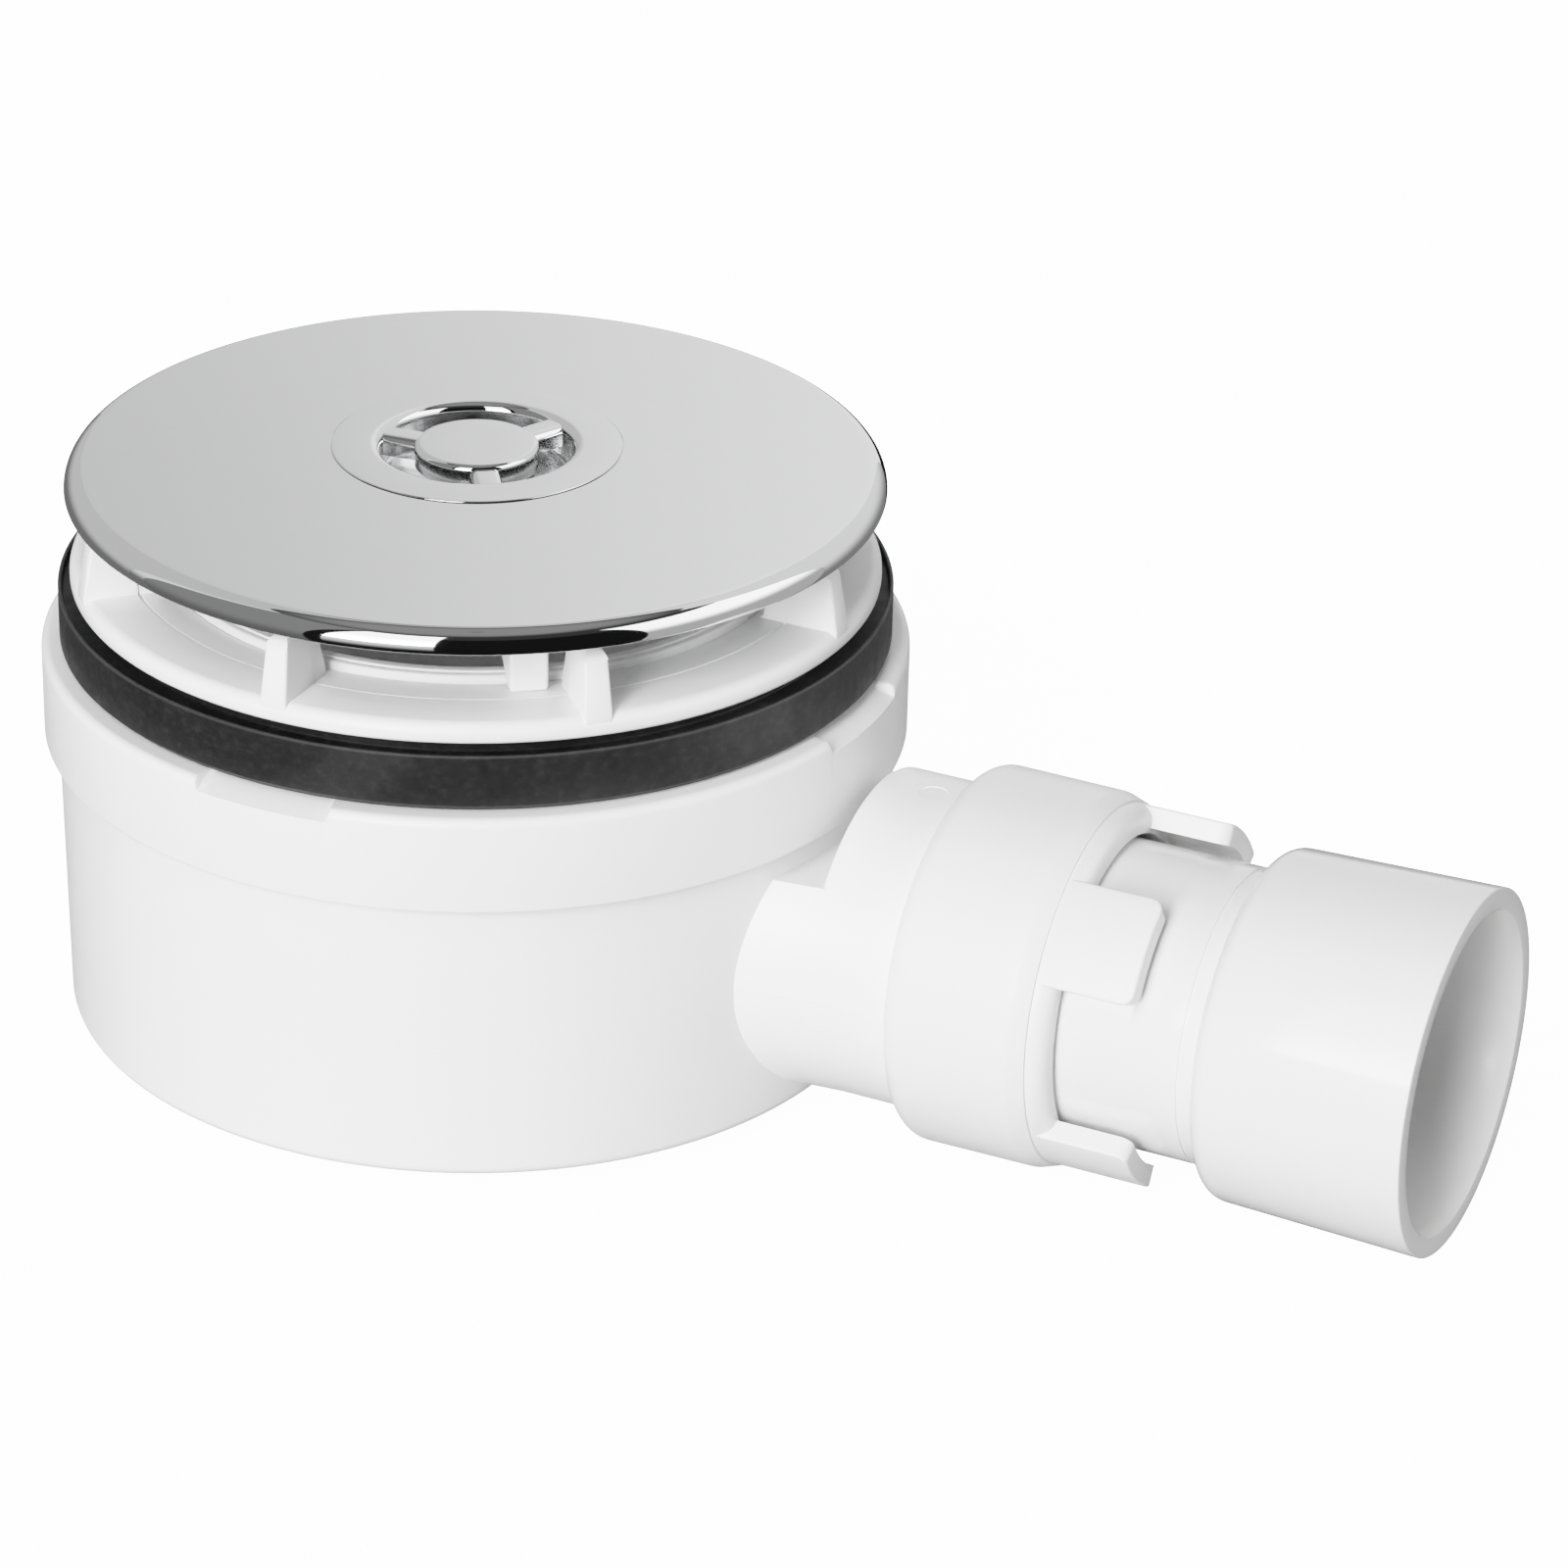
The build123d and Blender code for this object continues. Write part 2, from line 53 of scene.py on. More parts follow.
# Bowl
BASE_RADIUS, BASE_ROUND = 57.8, 1.6
SHOULDER_RADIUS, SEAM_Z = 58.4, 41.7
BOWL_WALL, FLOOR, FLOOR_ROUND = 2.6, 2.8, 3.0
FLOOR_RING_INNER, FLOOR_RING_OUTER, FLOOR_RING_TOP, FLOOR_RING_ROUND = 33.0, 35.0, 5.8, 0.6
SEAM_EDGE = 0.22

# Top ring
RING_RADIUS, RIM_Z = 60.35, 55.2
RIM_ROUND, PLATE_UNDER, PLATE_ROUND = 1.3, 51.8, 1.0
THREAD_BORE, THREAD_OUTER, THREAD_BOTTOM = 44.25, 47.25, 42.7
NOTCH_COUNT, NOTCH_HALF, NOTCH_BLEND = 4, radians(9.5), radians(0.3)
NOTCH_INNER, NOTCH_TOP, NOTCH_SLOPE, NOTCH_STEPS = 56.9, 54.8, 0.4, 3

# Rubber
GASKET_INNER, GASKET_RADIUS, GASKET_TOP = 44.8, 57.8, 63.3
GASKET_CHAMFER, GASKET_LIP, GASKET_GROOVE = 0.9, 0.5, 1.5
GASKET_LIP_ROUND, GASKET_LIP_INNER_ROUND, RUBBER_ROUND = 0.2, 0.15, 0.3
SEAL_RADIUS, FLANGE_UNDER = 53.2, 64.2

# Collar
SKIRT_BORE, SKIRT_RADIUS, SKIRT_BOTTOM, SKIRT_ROUND = 41.2, 44.0, 45.2, 0.3
FLANGE_RADIUS, FLANGE_TOP = 56.1, 67.0
FLANGE_EDGE_ROUND, FLANGE_UNDER_ROUND = 1.7, 0.5
WITNESS_RADIUS, WITNESS_STEP, WITNESS_HALF, WITNESS_DEPTH = 48.25, 0.15, 0.3, 0.6
RIM_SEAT_RADIUS, RIM_SEAT_Z, RIM_SEAT_ROUND = 43.4, 65.3, 0.2
RIB_COUNT, RIB_FOOT, RIB_FOOT_ROUND = 8, 65.6, 1.0
RIB_INNER, RIB_OUTER, RIB_HALF, RIB_STEP = 44.7, 55.9, 1.95, 0.25
RIB_DRAFT, RIB_LEAN = tan(radians(2.5)), 0.28
RIB_TIP_RADIUS, RIB_TIP_Z, RIB_TOP_SLOPE = 54.5, 75.7, 0.087
RIB_TOP_ROUND, RIB_EDGE_ROUND, RIB_EDGE_STEPS = 2.6, 0.4, 3
RIB_WEB_OVERLAP, RIB_WEB_ROUND = 2.0, 1.0
RIB_CREST_HALF, RIB_END_MARGIN = 0.04, 0.1
THUMB_ROUND, THUMB_STEPS = 1.4, 6

# Dip tube
DIP_RIM_RADIUS, DIP_RIM_MOUTH, DIP_RIM_TOP, DIP_RIM_ROUND = 43.2, 41.1, 68.3, 0.4
DIP_BEAD_RADIUS, DIP_BEAD_TOP, DIP_BEAD_ROUND = 42.3, 68.0, 0.15
DIP_MOUTH_BOTTOM = 62.3
DIP_BODY_RADIUS, DIP_BODY_INNER, DIP_BODY_BOTTOM = 41.0, 36.6, 56.9
DIP_TUBE_RADIUS, DIP_TUBE_INNER = 31.0, 29.2
DIP_CONE_BOTTOM, DIP_TUBE_BOTTOM = 48.9, 7.2
DIP_GROOVE_FLOOR, DIP_GROOVE_LOW, DIP_GROOVE_HIGH = 38.6, 59.35, 62.05

# Cap
CAP_RADIUS, CAP_EDGE_ROUND, CAP_LIP_EDGE = 56.5, 2.9, 0.26
CAP_BOTTOM, CAP_TOP, CAP_WALL, CAP_BEND = 77.15, 82.8, 1.4, 53.4
CAP_SPHERE = 587.54
CAP_STEPS = 384
DOME_CUTS, DOME_MARGIN = 24, 0.2
CHROME_FINENESS = 3

# Grip in the cap
GRIP_TOP, GRIP_SEAT, GRIP_FLANGE_RADIUS, GRIP_FIT = 83.0, 82.25, 20.0, 0.15
GRIP_RECESS_RADIUS, GRIP_SPIGOT_RADIUS, GRIP_FLOOR, GRIP_WALL = 13.3, 14.5, 77.8, 1.2
GRIP_MOUTH_ROUND, GRIP_FLOOR_ROUND, GRIP_EDGE_ROUND = 1.4, 1.0, 0.18
GRIP_DISC_RADIUS, GRIP_DISC_TOP, GRIP_DISC_UNDER = 8.6, 82.9, 79.5
GRIP_DISC_ROUND, GRIP_DISC_UNDER_ROUND = 0.9, 0.3
GRIP_DISC_CROWN, GRIP_DISC_CROWN_ROUND = 0.1, 30.0
GRIP_BARB_RADIUS, GRIP_BARB_TOP, GRIP_BOTTOM = 15.0, 77.02, 76.22
SPOKE_COUNT, SPOKE_HALF, SPOKE_ROUND, SPOKE_TOP = 3, 2.2, 1.2, 82.3
SPOKE_INNER, SPOKE_OUTER, SPOKE_ROUND_STEPS = 4.3, 13.9, 12
SPOKE_ANGLE = radians(-54.4)

# Carrier under the cap
HUB_INNER, HUB_OUTER, HUB_BOTTOM, HUB_TOP, HUB_ROUND = 14.65, 17.25, 77.02, 80.94, 0.3
ARM_HALF, ARM_TOP, ARM_UNDER, ARM_START = 2.55, 79.36, 76.36, 15.95
LEG_TOE, LEG_OUTER, LEG_FOOT, GUSSET_START = 45.2, 46.4, 66.85, 35.44
LEG_ROUND, LEG_FLARE = 0.5, 0.08
CARRIER_ANGLE = radians(-53.0)

# Outlet neck
OUTLET_Z = 22.85
OUTLET_CENTRE = (0, 0, OUTLET_Z)
NECK_RADIUS, NECK_THREAD_RADIUS, NECK_BORE = 22.85, 22.5, 20.75
ROOT_START, NECK_START, NECK_STOP = 50.0, 62.1, 64.7
ROOT_END, ROOT_FLARE = 63.4, 0.1
NECK_THREAD_START, NECK_END = 74.6, 88.0
CONE_SEAT, CONE_SEAT_RADIUS = 85.4, 22.0
ROOT_TOP, ROOT_WATER_TOP, ROOT_WATER_START, WATER_RADIUS = 37.3, 35.1, 40.0, 18.3
NECK_EDGE_ROUND = 0.6
PIN_MARK_X, PIN_MARK_RADIUS, PIN_MARK_DEPTH = 70.2, 2.0, 0.18
PIN_LENGTH, PIN_STEPS = 2.0, 64
PARTING_START, PARTING_HALF, PARTING_PROUD = 53.5, 0.12, 0.05

# Union nut
NUT_BORE, NUT_RADIUS, NUT_FLARE = 22.75, 26.25, 0.15
NUT_SHOULDER_ROUND, NUT_END_ROUND, NUT_MOUTH_ROUND, NUT_LEDGE_ROUND = 3.0, 2.4, 0.4, 0.1
NUT_FACE, NUT_END, NUT_LEDGE = 93.6, 98.2, 95.6
NUT_END_RADIUS, NUT_LEDGE_RADIUS, NUT_MOUTH = 25.1, 25.45, 21.3
LUG_COUNT, LUG_PHASE, LUG_ANGLE, LUG_STRIPS = 4, radians(47), radians(35), 28
LUG_INNER, LUG_END = 22.1, 109.2
LUG_CORNER_ROUND, LUG_EDGE_ROUND = 1.8, 0.35

# Tail pipe
TAIL_RADIUS, TAIL_START = 20.5, 65.0
SOCKET_ROOT, SOCKET_STOP, SOCKET_MOUTH = 117.95, 121.15, 148.15
SOCKET_RADIUS, SOCKET_SMALL_RADIUS, SOCKET_BORE = 25.2, 24.29, 21.55
SOCKET_LEAD, SOCKET_LEAD_RADIUS, SOCKET_LEAD_ROUND = 2.0, 22.3, 0.2
SOCKET_SHOULDER_ROUND, SOCKET_ROOT_ROUND, SOCKET_EDGE_ROUND = 2.8, 0.5, 0.22
TAIL_RELIEF_START, TAIL_RELIEF = 115.2, 0.22
TAIL_LINE_X, TAIL_LINE_HALF, TAIL_LINE_DEPTH = 108.0, 0.2, 0.04

# Finishes, with noise scales per metre and depths of relief in metres
NOISE_LOW, NOISE_HIGH = 0.3, 0.7
CLOUDING_SCALE, GLOSS_SCALE = 26.0, 900.0
GRAIN_SCALE, GRAIN_DEPTH = 2600.0, 0.00006
PLASTIC_IOR = 1.5
SPECKLE_SCALE, SPECKLE_STRETCH, BLOOM_SCALE = 700.0, (1, 1, 1.4), 55.0
RUBBER_GLOSS_SCALE, RUBBER_ROUGHNESS = 320.0, (0.5, 0.66)
RUBBER_GRAIN_SCALE, RUBBER_GRAIN, RUBBER_GRAIN_DEPTH = 1900.0, 0.35, 0.00012
STREAK_SCALE, STREAK_STRETCH, CHROME_ROUGHNESS = 420.0, (0.12, 1.0, 1.0), (0.03, 0.045)
RIPPLE_SCALE, RIPPLE_STRETCH, RIPPLE, RIPPLE_DEPTH = 900.0, (0.1, 1.0, 1.0), 0.004, 0.00002
WELL_SATIN, WELL_FADE, WELL_EDGE = 0.14, 1.0, 0.1


# Ways of shaping


def corner_reach(before, corner, after, radius):
    """Distance from a corner to where a round of that radius starts."""
    return radius / tan((before - corner).angle(after - corner) / 2)


def draw_section(corners, closed=True, lift=0.0, fineness=1):
    """Wire in the XZ plane through (x, z, round) corners, with the rounds bevelled in."""
    bm = bmesh.new()
    verts = [bm.verts.new((x, 0, z + lift)) for x, z, _ in corners]
    places = [v.co.copy() for v in verts]
    count = len(verts)
    for i in range(count if closed else count - 1):
        bm.edges.new((verts[i], verts[(i + 1) % count]))
    for i, (_, _, radius) in enumerate(corners):
        if radius:
            bmesh.ops.bevel(
                bm,
                geom=[verts[i]],
                offset=corner_reach(places[i - 1], places[i], places[(i + 1) % count], radius),
                offset_type="OFFSET",
                segments=fineness * (SMALL_ROUND_STEPS if radius < 1 else LARGE_ROUND_STEPS),
                profile=0.5,
                affect="VERTICES",
                material=-1,
            )
    return bm


def spin_round(bm, axis=WASTE_AXIS, centre=(0, 0, 0), steps=TURN_STEPS):
    """Turns a section all the way round and closes its seam and poles."""
    bmesh.ops.spin(
        bm,
        geom=bm.verts[:] + bm.edges[:],
        cent=centre,
        axis=axis,
        angle=FULL_TURN,
        steps=steps,
        use_merge=True,
    )
    bmesh.ops.remove_doubles(bm, verts=bm.verts, dist=MERGE_DISTANCE)
    bmesh.ops.recalc_face_normals(bm, faces=bm.faces)
    return bm


def turned(corners, closed=True):
    """Solid of revolution about the waste axis, from (radius, height, round) corners."""
    return spin_round(draw_section(corners, closed))


def turned_on_outlet(corners, closed=True):
    """Solid of revolution about the outlet axis, from (station, radius, round) corners."""
    return spin_round(draw_section(corners, closed, OUTLET_Z), OUTLET_AXIS, OUTLET_CENTRE)


def outlet_bar(radius, start, end):
    """Round bar on the outlet axis between two stations."""
    return turned_on_outlet([(start, 0, 0), (start, radius, 0), (end, radius, 0), (end, 0, 0)], False)


def flat_topped(bm, height):
    """A solid with what is above a height sliced off."""
    bmesh.ops.bisect_plane(
        bm,
        geom=bm.verts[:] + bm.edges[:] + bm.faces[:],
        dist=MERGE_DISTANCE,
        plane_co=(0, 0, height),
        plane_no=WASTE_AXIS,
        clear_outer=True,
    )
    bmesh.ops.holes_fill(bm, edges=[e for e in bm.edges if e.is_boundary])
    bmesh.ops.recalc_face_normals(bm, faces=bm.faces)
    return bm


def repeat_round(bm, count, axis=WASTE_AXIS, centre=(0, 0, 0)):
    """Equal copies of all of a mesh about an axis."""
    bmesh.ops.spin(
        bm,
        geom=bm.verts[:] + bm.edges[:] + bm.faces[:],
        cent=centre,
        axis=axis,
        angle=FULL_TURN * (count - 1) / count,
        steps=count - 1,
        use_duplicate=True,
    )
    return bm


def turn_by(bm, angle, axis, centre=(0, 0, 0)):
    """Turns a whole mesh about an axis."""
    bmesh.ops.rotate(bm, cent=centre, matrix=Matrix.Rotation(angle, 3, axis), verts=bm.verts)
    return bm


def round_edges(bm, edges, radius, segments=SMALL_ROUND_STEPS):
    """Rounds the given edges."""
    bmesh.ops.bevel(
        bm,
        geom=edges,
        offset=radius,
        offset_type="OFFSET",
        segments=segments,
        profile=0.5,
        affect="EDGES",
        material=-1,
    )


def plate(corners, thickness):
    """Flat plate from (x, z, round) corners in the XZ plane, as thick as given along Y."""
    bm = draw_section(corners)
    bmesh.ops.contextual_create(bm, geom=bm.edges)
    raised = bmesh.ops.extrude_face_region(bm, geom=bm.faces[:])["geom"]
    moved = [v for v in raised if isinstance(v, bmesh.types.BMVert)]
    bmesh.ops.translate(bm, verts=moved, vec=(0, thickness, 0))
    bmesh.ops.recalc_face_normals(bm, faces=bm.faces)
    return bm


def upright_prism(corners, half_width):
    """Plate that is equally deep on both sides of the XZ plane."""
    bm = plate(corners, 2 * half_width)
    bmesh.ops.translate(bm, verts=bm.verts, vec=(0, -half_width, 0))
    return bm


def cut_across(bm, place, normal):
    """Adds an edge loop where a plane crosses a mesh."""
    geom = bm.verts[:] + bm.edges[:] + bm.faces[:]
    bmesh.ops.bisect_plane(bm, geom=geom, dist=MERGE_DISTANCE, plane_co=place, plane_no=normal)


def combined(body, tool, operation):
    """One solid from two, by a Boolean modifier."""
    blanks = []
    for bm in (body, tool):
        mesh = bpy.data.meshes.new("blank")
        bm.to_mesh(mesh)
        bm.free()
        blank = bpy.data.objects.new("blank", mesh)
        bpy.context.scene.collection.objects.link(blank)
        blanks.append(blank)
    modifier = blanks[0].modifiers.new("joint", "BOOLEAN")
    modifier.solver = "EXACT"
    modifier.operation = operation
    modifier.object = blanks[1]
    result = bmesh.new()
    result.from_object(blanks[0], bpy.context.evaluated_depsgraph_get())
    for blank in blanks:
        mesh = blank.data
        bpy.data.objects.remove(blank)
        bpy.data.meshes.remove(mesh)
    return result


def joined(body, *others):
    """Several meshes in one."""
    for other in others:
        mesh = bpy.data.meshes.new("blank")
        other.to_mesh(mesh)
        other.free()
        body.from_mesh(mesh)
        bpy.data.meshes.remove(mesh)
    return body


def piece(bm, name, material, slot, *nodes, sharp=SHARP_ANGLE):
    """Finished object from a mesh in millimetres, riding on the trap in place of CAD nodes."""
    bmesh.ops.scale(bm, vec=(MM, MM, MM), verts=bm.verts)
    mesh = bpy.data.meshes.new(name)
    bm.to_mesh(mesh)
    bm.free()
    mesh.polygons.foreach_set("use_smooth", [True] * len(mesh.polygons))
    mesh.set_sharp_from_angle(angle=sharp)
    mesh.materials.append(material)
    obj = bpy.data.objects.new(name, mesh)
    bpy.context.scene.collection.objects.link(obj)
    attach(obj, "root")
    if nodes:
        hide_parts(*nodes)
    return obj


def dome_height(radius, crown):
    """Height of the cap's spherical top, or of a surface parallel to it, at a radius."""
    return crown - CAP_SPHERE + sqrt(CAP_SPHERE**2 - radius**2)


def crowned(bm, inner, outer, crown):
    """Bends a section's straight run between two radii to the cap's sphere."""
    run = [
        e
        for e in bm.edges
        if e.calc_length() > (outer - inner) / 2
        and all(abs(v.co.z - dome_height(v.co.x, crown)) < DOME_MARGIN for v in e.verts)
    ]
    cuts = bmesh.ops.subdivide_edges(bm, edges=run, cuts=DOME_CUTS)["geom_inner"]
    for v in cuts:
        if isinstance(v, bmesh.types.BMVert):
            v.co.z = dome_height(v.co.x, crown)
    return bm


# Finishes


class Finish:
    """A material's node tree with short ways to add to it."""

    def __init__(self, name):
        self.material = bpy.data.materials.new(name)
        self.material.use_nodes = True
        self.nodes = self.material.node_tree.nodes
        self.links = self.material.node_tree.links
        self.shader = self.nodes["Principled BSDF"]
        self.coords = self.nodes.new("ShaderNodeTexCoord")

    def noise(self, scale, detail=3.0, stretch=(1, 1, 1), roughness=0.5):
        """Noise in the object's own coordinates, stretched along its axes."""
        mapping = self.nodes.new("ShaderNodeMapping")
        mapping.inputs["Scale"].default_value = stretch
        texture = self.nodes.new("ShaderNodeTexNoise")
        texture.inputs["Scale"].default_value = scale
        texture.inputs["Detail"].default_value = detail
        texture.inputs["Roughness"].default_value = roughness
        self.links.new(self.coords.outputs["Object"], mapping.inputs["Vector"])
        self.links.new(mapping.outputs["Vector"], texture.inputs["Vector"])
        return texture.outputs[0]

    def ramp(self, factor, *stops):
        """Colours by a factor, from (position, colour) stops."""
        node = self.nodes.new("ShaderNodeValToRGB")
        elements = node.color_ramp.elements
        while len(elements) < len(stops):
            elements.new(1.0)
        for element, (position, colour) in zip(elements, stops):
            element.position = position
            element.color = (*colour, 1.0)
        self.links.new(factor, node.inputs["Fac"])
        return node.outputs["Color"]

    def height(self, low, high):
        """Factor that goes from 0 to 1 between two heights on the trap, in millimetres."""
        parts = self.nodes.new("ShaderNodeSeparateXYZ")
        node = self.nodes.new("ShaderNodeMapRange")
        node.inputs["From Min"].default_value = low * MM
        node.inputs["From Max"].default_value = high * MM
        self.links.new(self.coords.outputs["Object"], parts.inputs["Vector"])
        self.links.new(parts.outputs["Z"], node.inputs["Value"])
        return node.outputs["Result"]

    def within(self, radius):
        """Factor that is 1 inside a radius about the waste axis, in millimetres, and 0 outside it."""
        mapping = self.nodes.new("ShaderNodeMapping")
        mapping.inputs["Scale"].default_value = (1, 1, 0)
        length = self.nodes.new("ShaderNodeVectorMath")
        length.operation = "LENGTH"
        node = self.nodes.new("ShaderNodeMapRange")
        node.inputs["From Min"].default_value = (radius + WELL_EDGE) * MM
        node.inputs["From Max"].default_value = radius * MM
        self.links.new(self.coords.outputs["Object"], mapping.inputs["Vector"])
        self.links.new(mapping.outputs["Vector"], length.inputs[0])
        self.links.new(length.outputs["Value"], node.inputs["Value"])
        return node.outputs["Result"]

    def product(self, one, other):
        """Two factors multiplied."""
        node = self.nodes.new("ShaderNodeMath")
        node.operation = "MULTIPLY"
        self.links.new(one, node.inputs[0])
        self.links.new(other, node.inputs[1])
        return node.outputs["Value"]

    def raised(self, value, factor, share):
        """A value raised by a share of a factor."""
        node = self.nodes.new("ShaderNodeMath")
        node.operation = "MULTIPLY_ADD"
        node.inputs[1].default_value = share
        self.links.new(factor, node.inputs[0])
        self.links.new(value, node.inputs[2])
        return node.outputs["Value"]

    def added(self, colour, more):
        """One colour and another on top of it."""
        node = self.nodes.new("ShaderNodeVectorMath")
        self.links.new(colour, node.inputs[0])
        self.links.new(more, node.inputs[1])
        return node.outputs["Vector"]

    def spread(self, factor, low, high):
        """A factor's middle range spread between two values."""
        node = self.nodes.new("ShaderNodeMapRange")
        node.inputs["From Min"].default_value = NOISE_LOW
        node.inputs["From Max"].default_value = NOISE_HIGH
        node.inputs["To Min"].default_value = low
        node.inputs["To Max"].default_value = high
        self.links.new(factor, node.inputs["Value"])
        return node.outputs["Result"]

    def bump(self, height, strength, distance, below=None):
        """Surface relief from a height, over relief that is there already."""
        node = self.nodes.new("ShaderNodeBump")
        node.inputs["Strength"].default_value = strength
        node.inputs["Distance"].default_value = distance
        self.links.new(height, node.inputs["Height"])
        if below is not None:
            self.links.new(below, node.inputs["Normal"])
        return node.outputs["Normal"]

    def join(self, value, socket):
        """Links a value to a socket of the shader."""
        self.links.new(value, self.shader.inputs[socket])


def white_plastic(name, dark, light, rough_low, rough_high, grain):
    """Moulded white plastic: faint clouding, an even gloss and a fine moulded grain."""
    finish = Finish(name)
    clouding = finish.noise(CLOUDING_SCALE)
    finish.join(finish.ramp(clouding, (NOISE_LOW, dark), (NOISE_HIGH, light)), "Base Color")
    finish.join(finish.spread(finish.noise(GLOSS_SCALE, detail=2.0), rough_low, rough_high), "Roughness")
    finish.join(finish.bump(finish.noise(GRAIN_SCALE, detail=2.0), grain, GRAIN_DEPTH), "Normal")
    finish.shader.inputs["IOR"].default_value = PLASTIC_IOR
    return finish.material


def moulded_rubber(name):
    """Moulded rubber: matt and dark, with pale speckles, bloom, painted highlights as pale bands along its
    bottom and top edges, and a fine grain.
    """
    finish = Finish(name)
    speckle = finish.ramp(
        finish.noise(SPECKLE_SCALE, detail=4.0, stretch=SPECKLE_STRETCH, roughness=0.6),
        (0.36, (0.005, 0.005, 0.0052)),
        (0.54, (0.008, 0.008, 0.0082)),
        (0.72, (0.017, 0.017, 0.0174)),
    )
    bloom = finish.ramp(
        finish.noise(BLOOM_SCALE),
        (0.5, (0.0, 0.0, 0.0)),
        (0.68, (0.009, 0.009, 0.0092)),
    )
    # Painted highlights: pale bands in the base colour near the gasket's bottom corner and along its top
    # edge, where the corners catch light
    painted_edge_highlights = finish.ramp(
        finish.height(RIM_Z, GASKET_TOP),
        (0.0, (0.006, 0.006, 0.006)),
        (0.085, (0.03, 0.03, 0.03)),
        (0.125, (0.0, 0.0, 0.0)),
        (0.95, (0.0, 0.0, 0.0)),
        (0.975, (0.022, 0.022, 0.022)),
        (0.995, (0.022, 0.022, 0.022)),
        (1.0, (0.0, 0.0, 0.0)),
    )
    finish.join(finish.added(finish.added(speckle, bloom), painted_edge_highlights), "Base Color")
    gloss = finish.noise(RUBBER_GLOSS_SCALE, detail=4.0)
    finish.join(finish.spread(gloss, *RUBBER_ROUGHNESS), "Roughness")
    grain = finish.noise(RUBBER_GRAIN_SCALE)
    finish.join(finish.bump(grain, RUBBER_GRAIN, RUBBER_GRAIN_DEPTH), "Normal")
    return finish.material


def bright_chrome(name):
    """Polished plating with very faint fine streaks in its gloss, duller down in the grip's recess."""
    finish = Finish(name)
    streaks = finish.noise(STREAK_SCALE, detail=5.0, stretch=STREAK_STRETCH)
    tones = (NOISE_LOW, (0.785, 0.788, 0.792)), (NOISE_HIGH, (0.795, 0.797, 0.8))
    finish.join(finish.ramp(streaks, *tones), "Base Color")
    depth = finish.height(SPOKE_TOP, SPOKE_TOP - WELL_FADE)
    satin = finish.product(depth, finish.within(GRIP_RECESS_RADIUS))
    gloss = finish.spread(streaks, *CHROME_ROUGHNESS)
    finish.join(finish.raised(gloss, satin, WELL_SATIN), "Roughness")
    finish.shader.inputs["Metallic"].default_value = 1.0
    ripple = finish.noise(RIPPLE_SCALE, detail=2.0, stretch=RIPPLE_STRETCH)
    finish.join(finish.bump(ripple, RIPPLE, RIPPLE_DEPTH), "Normal")
    return finish.material


BODY_WHITE = white_plastic("moulded_white", (0.885, 0.887, 0.884), (0.905, 0.905, 0.902), 0.3, 0.38, 0.06)
PIPE_WHITE = white_plastic("pipe_white", (0.85, 0.852, 0.85), (0.868, 0.868, 0.865), 0.1, 0.14, 0.03)
NUT_WHITE = white_plastic("nut_white", (0.862, 0.864, 0.862), (0.88, 0.88, 0.877), 0.3, 0.38, 0.06)
RUBBER = moulded_rubber("black_rubber")
CHROME = bright_chrome("bright_chrome")


# Pieces


def pin_mark():
    """Round flat-bottomed dent that an ejector pin leaves on top of the neck."""
    bm = bmesh.new()
    bmesh.ops.create_cone(
        bm,
        cap_ends=True,
        segments=PIN_STEPS,
        radius1=PIN_MARK_RADIUS,
        radius2=PIN_MARK_RADIUS,
        depth=PIN_LENGTH,
    )
    floor = OUTLET_Z + NECK_RADIUS - PIN_MARK_DEPTH
    bmesh.ops.translate(bm, verts=bm.verts, vec=(PIN_MARK_X, 0, floor + PIN_LENGTH / 2))
    return bm


def flare_root(bm):
    """Widens what is nearer to the bowl than the neck, in step with its distance."""
    for v in bm.verts:
        v.co.y *= 1 + ROOT_FLARE * max(ROOT_END - v.co.x, 0) / (ROOT_END - ROOT_START)
    return bm


def parting_line():
    """Fine raised line along both sides of the neck, where the mould opens."""
    outer = NECK_RADIUS + PARTING_PROUD
    line = plate(
        [
            (PARTING_START, OUTLET_Z - PARTING_HALF, 0),
            (NECK_THREAD_START, OUTLET_Z - PARTING_HALF, 0),
            (NECK_THREAD_START, OUTLET_Z + PARTING_HALF, 0),
            (PARTING_START, OUTLET_Z + PARTING_HALF, 0),
        ],
        4 * PARTING_PROUD,
    )
    bmesh.ops.translate(line, verts=line.verts, vec=(0, -outer, 0))
    cut_across(line, (ROOT_END, 0, 0), OUTLET_AXIS)
    flare_root(line)
    return repeat_round(line, 2, OUTLET_AXIS, OUTLET_CENTRE)


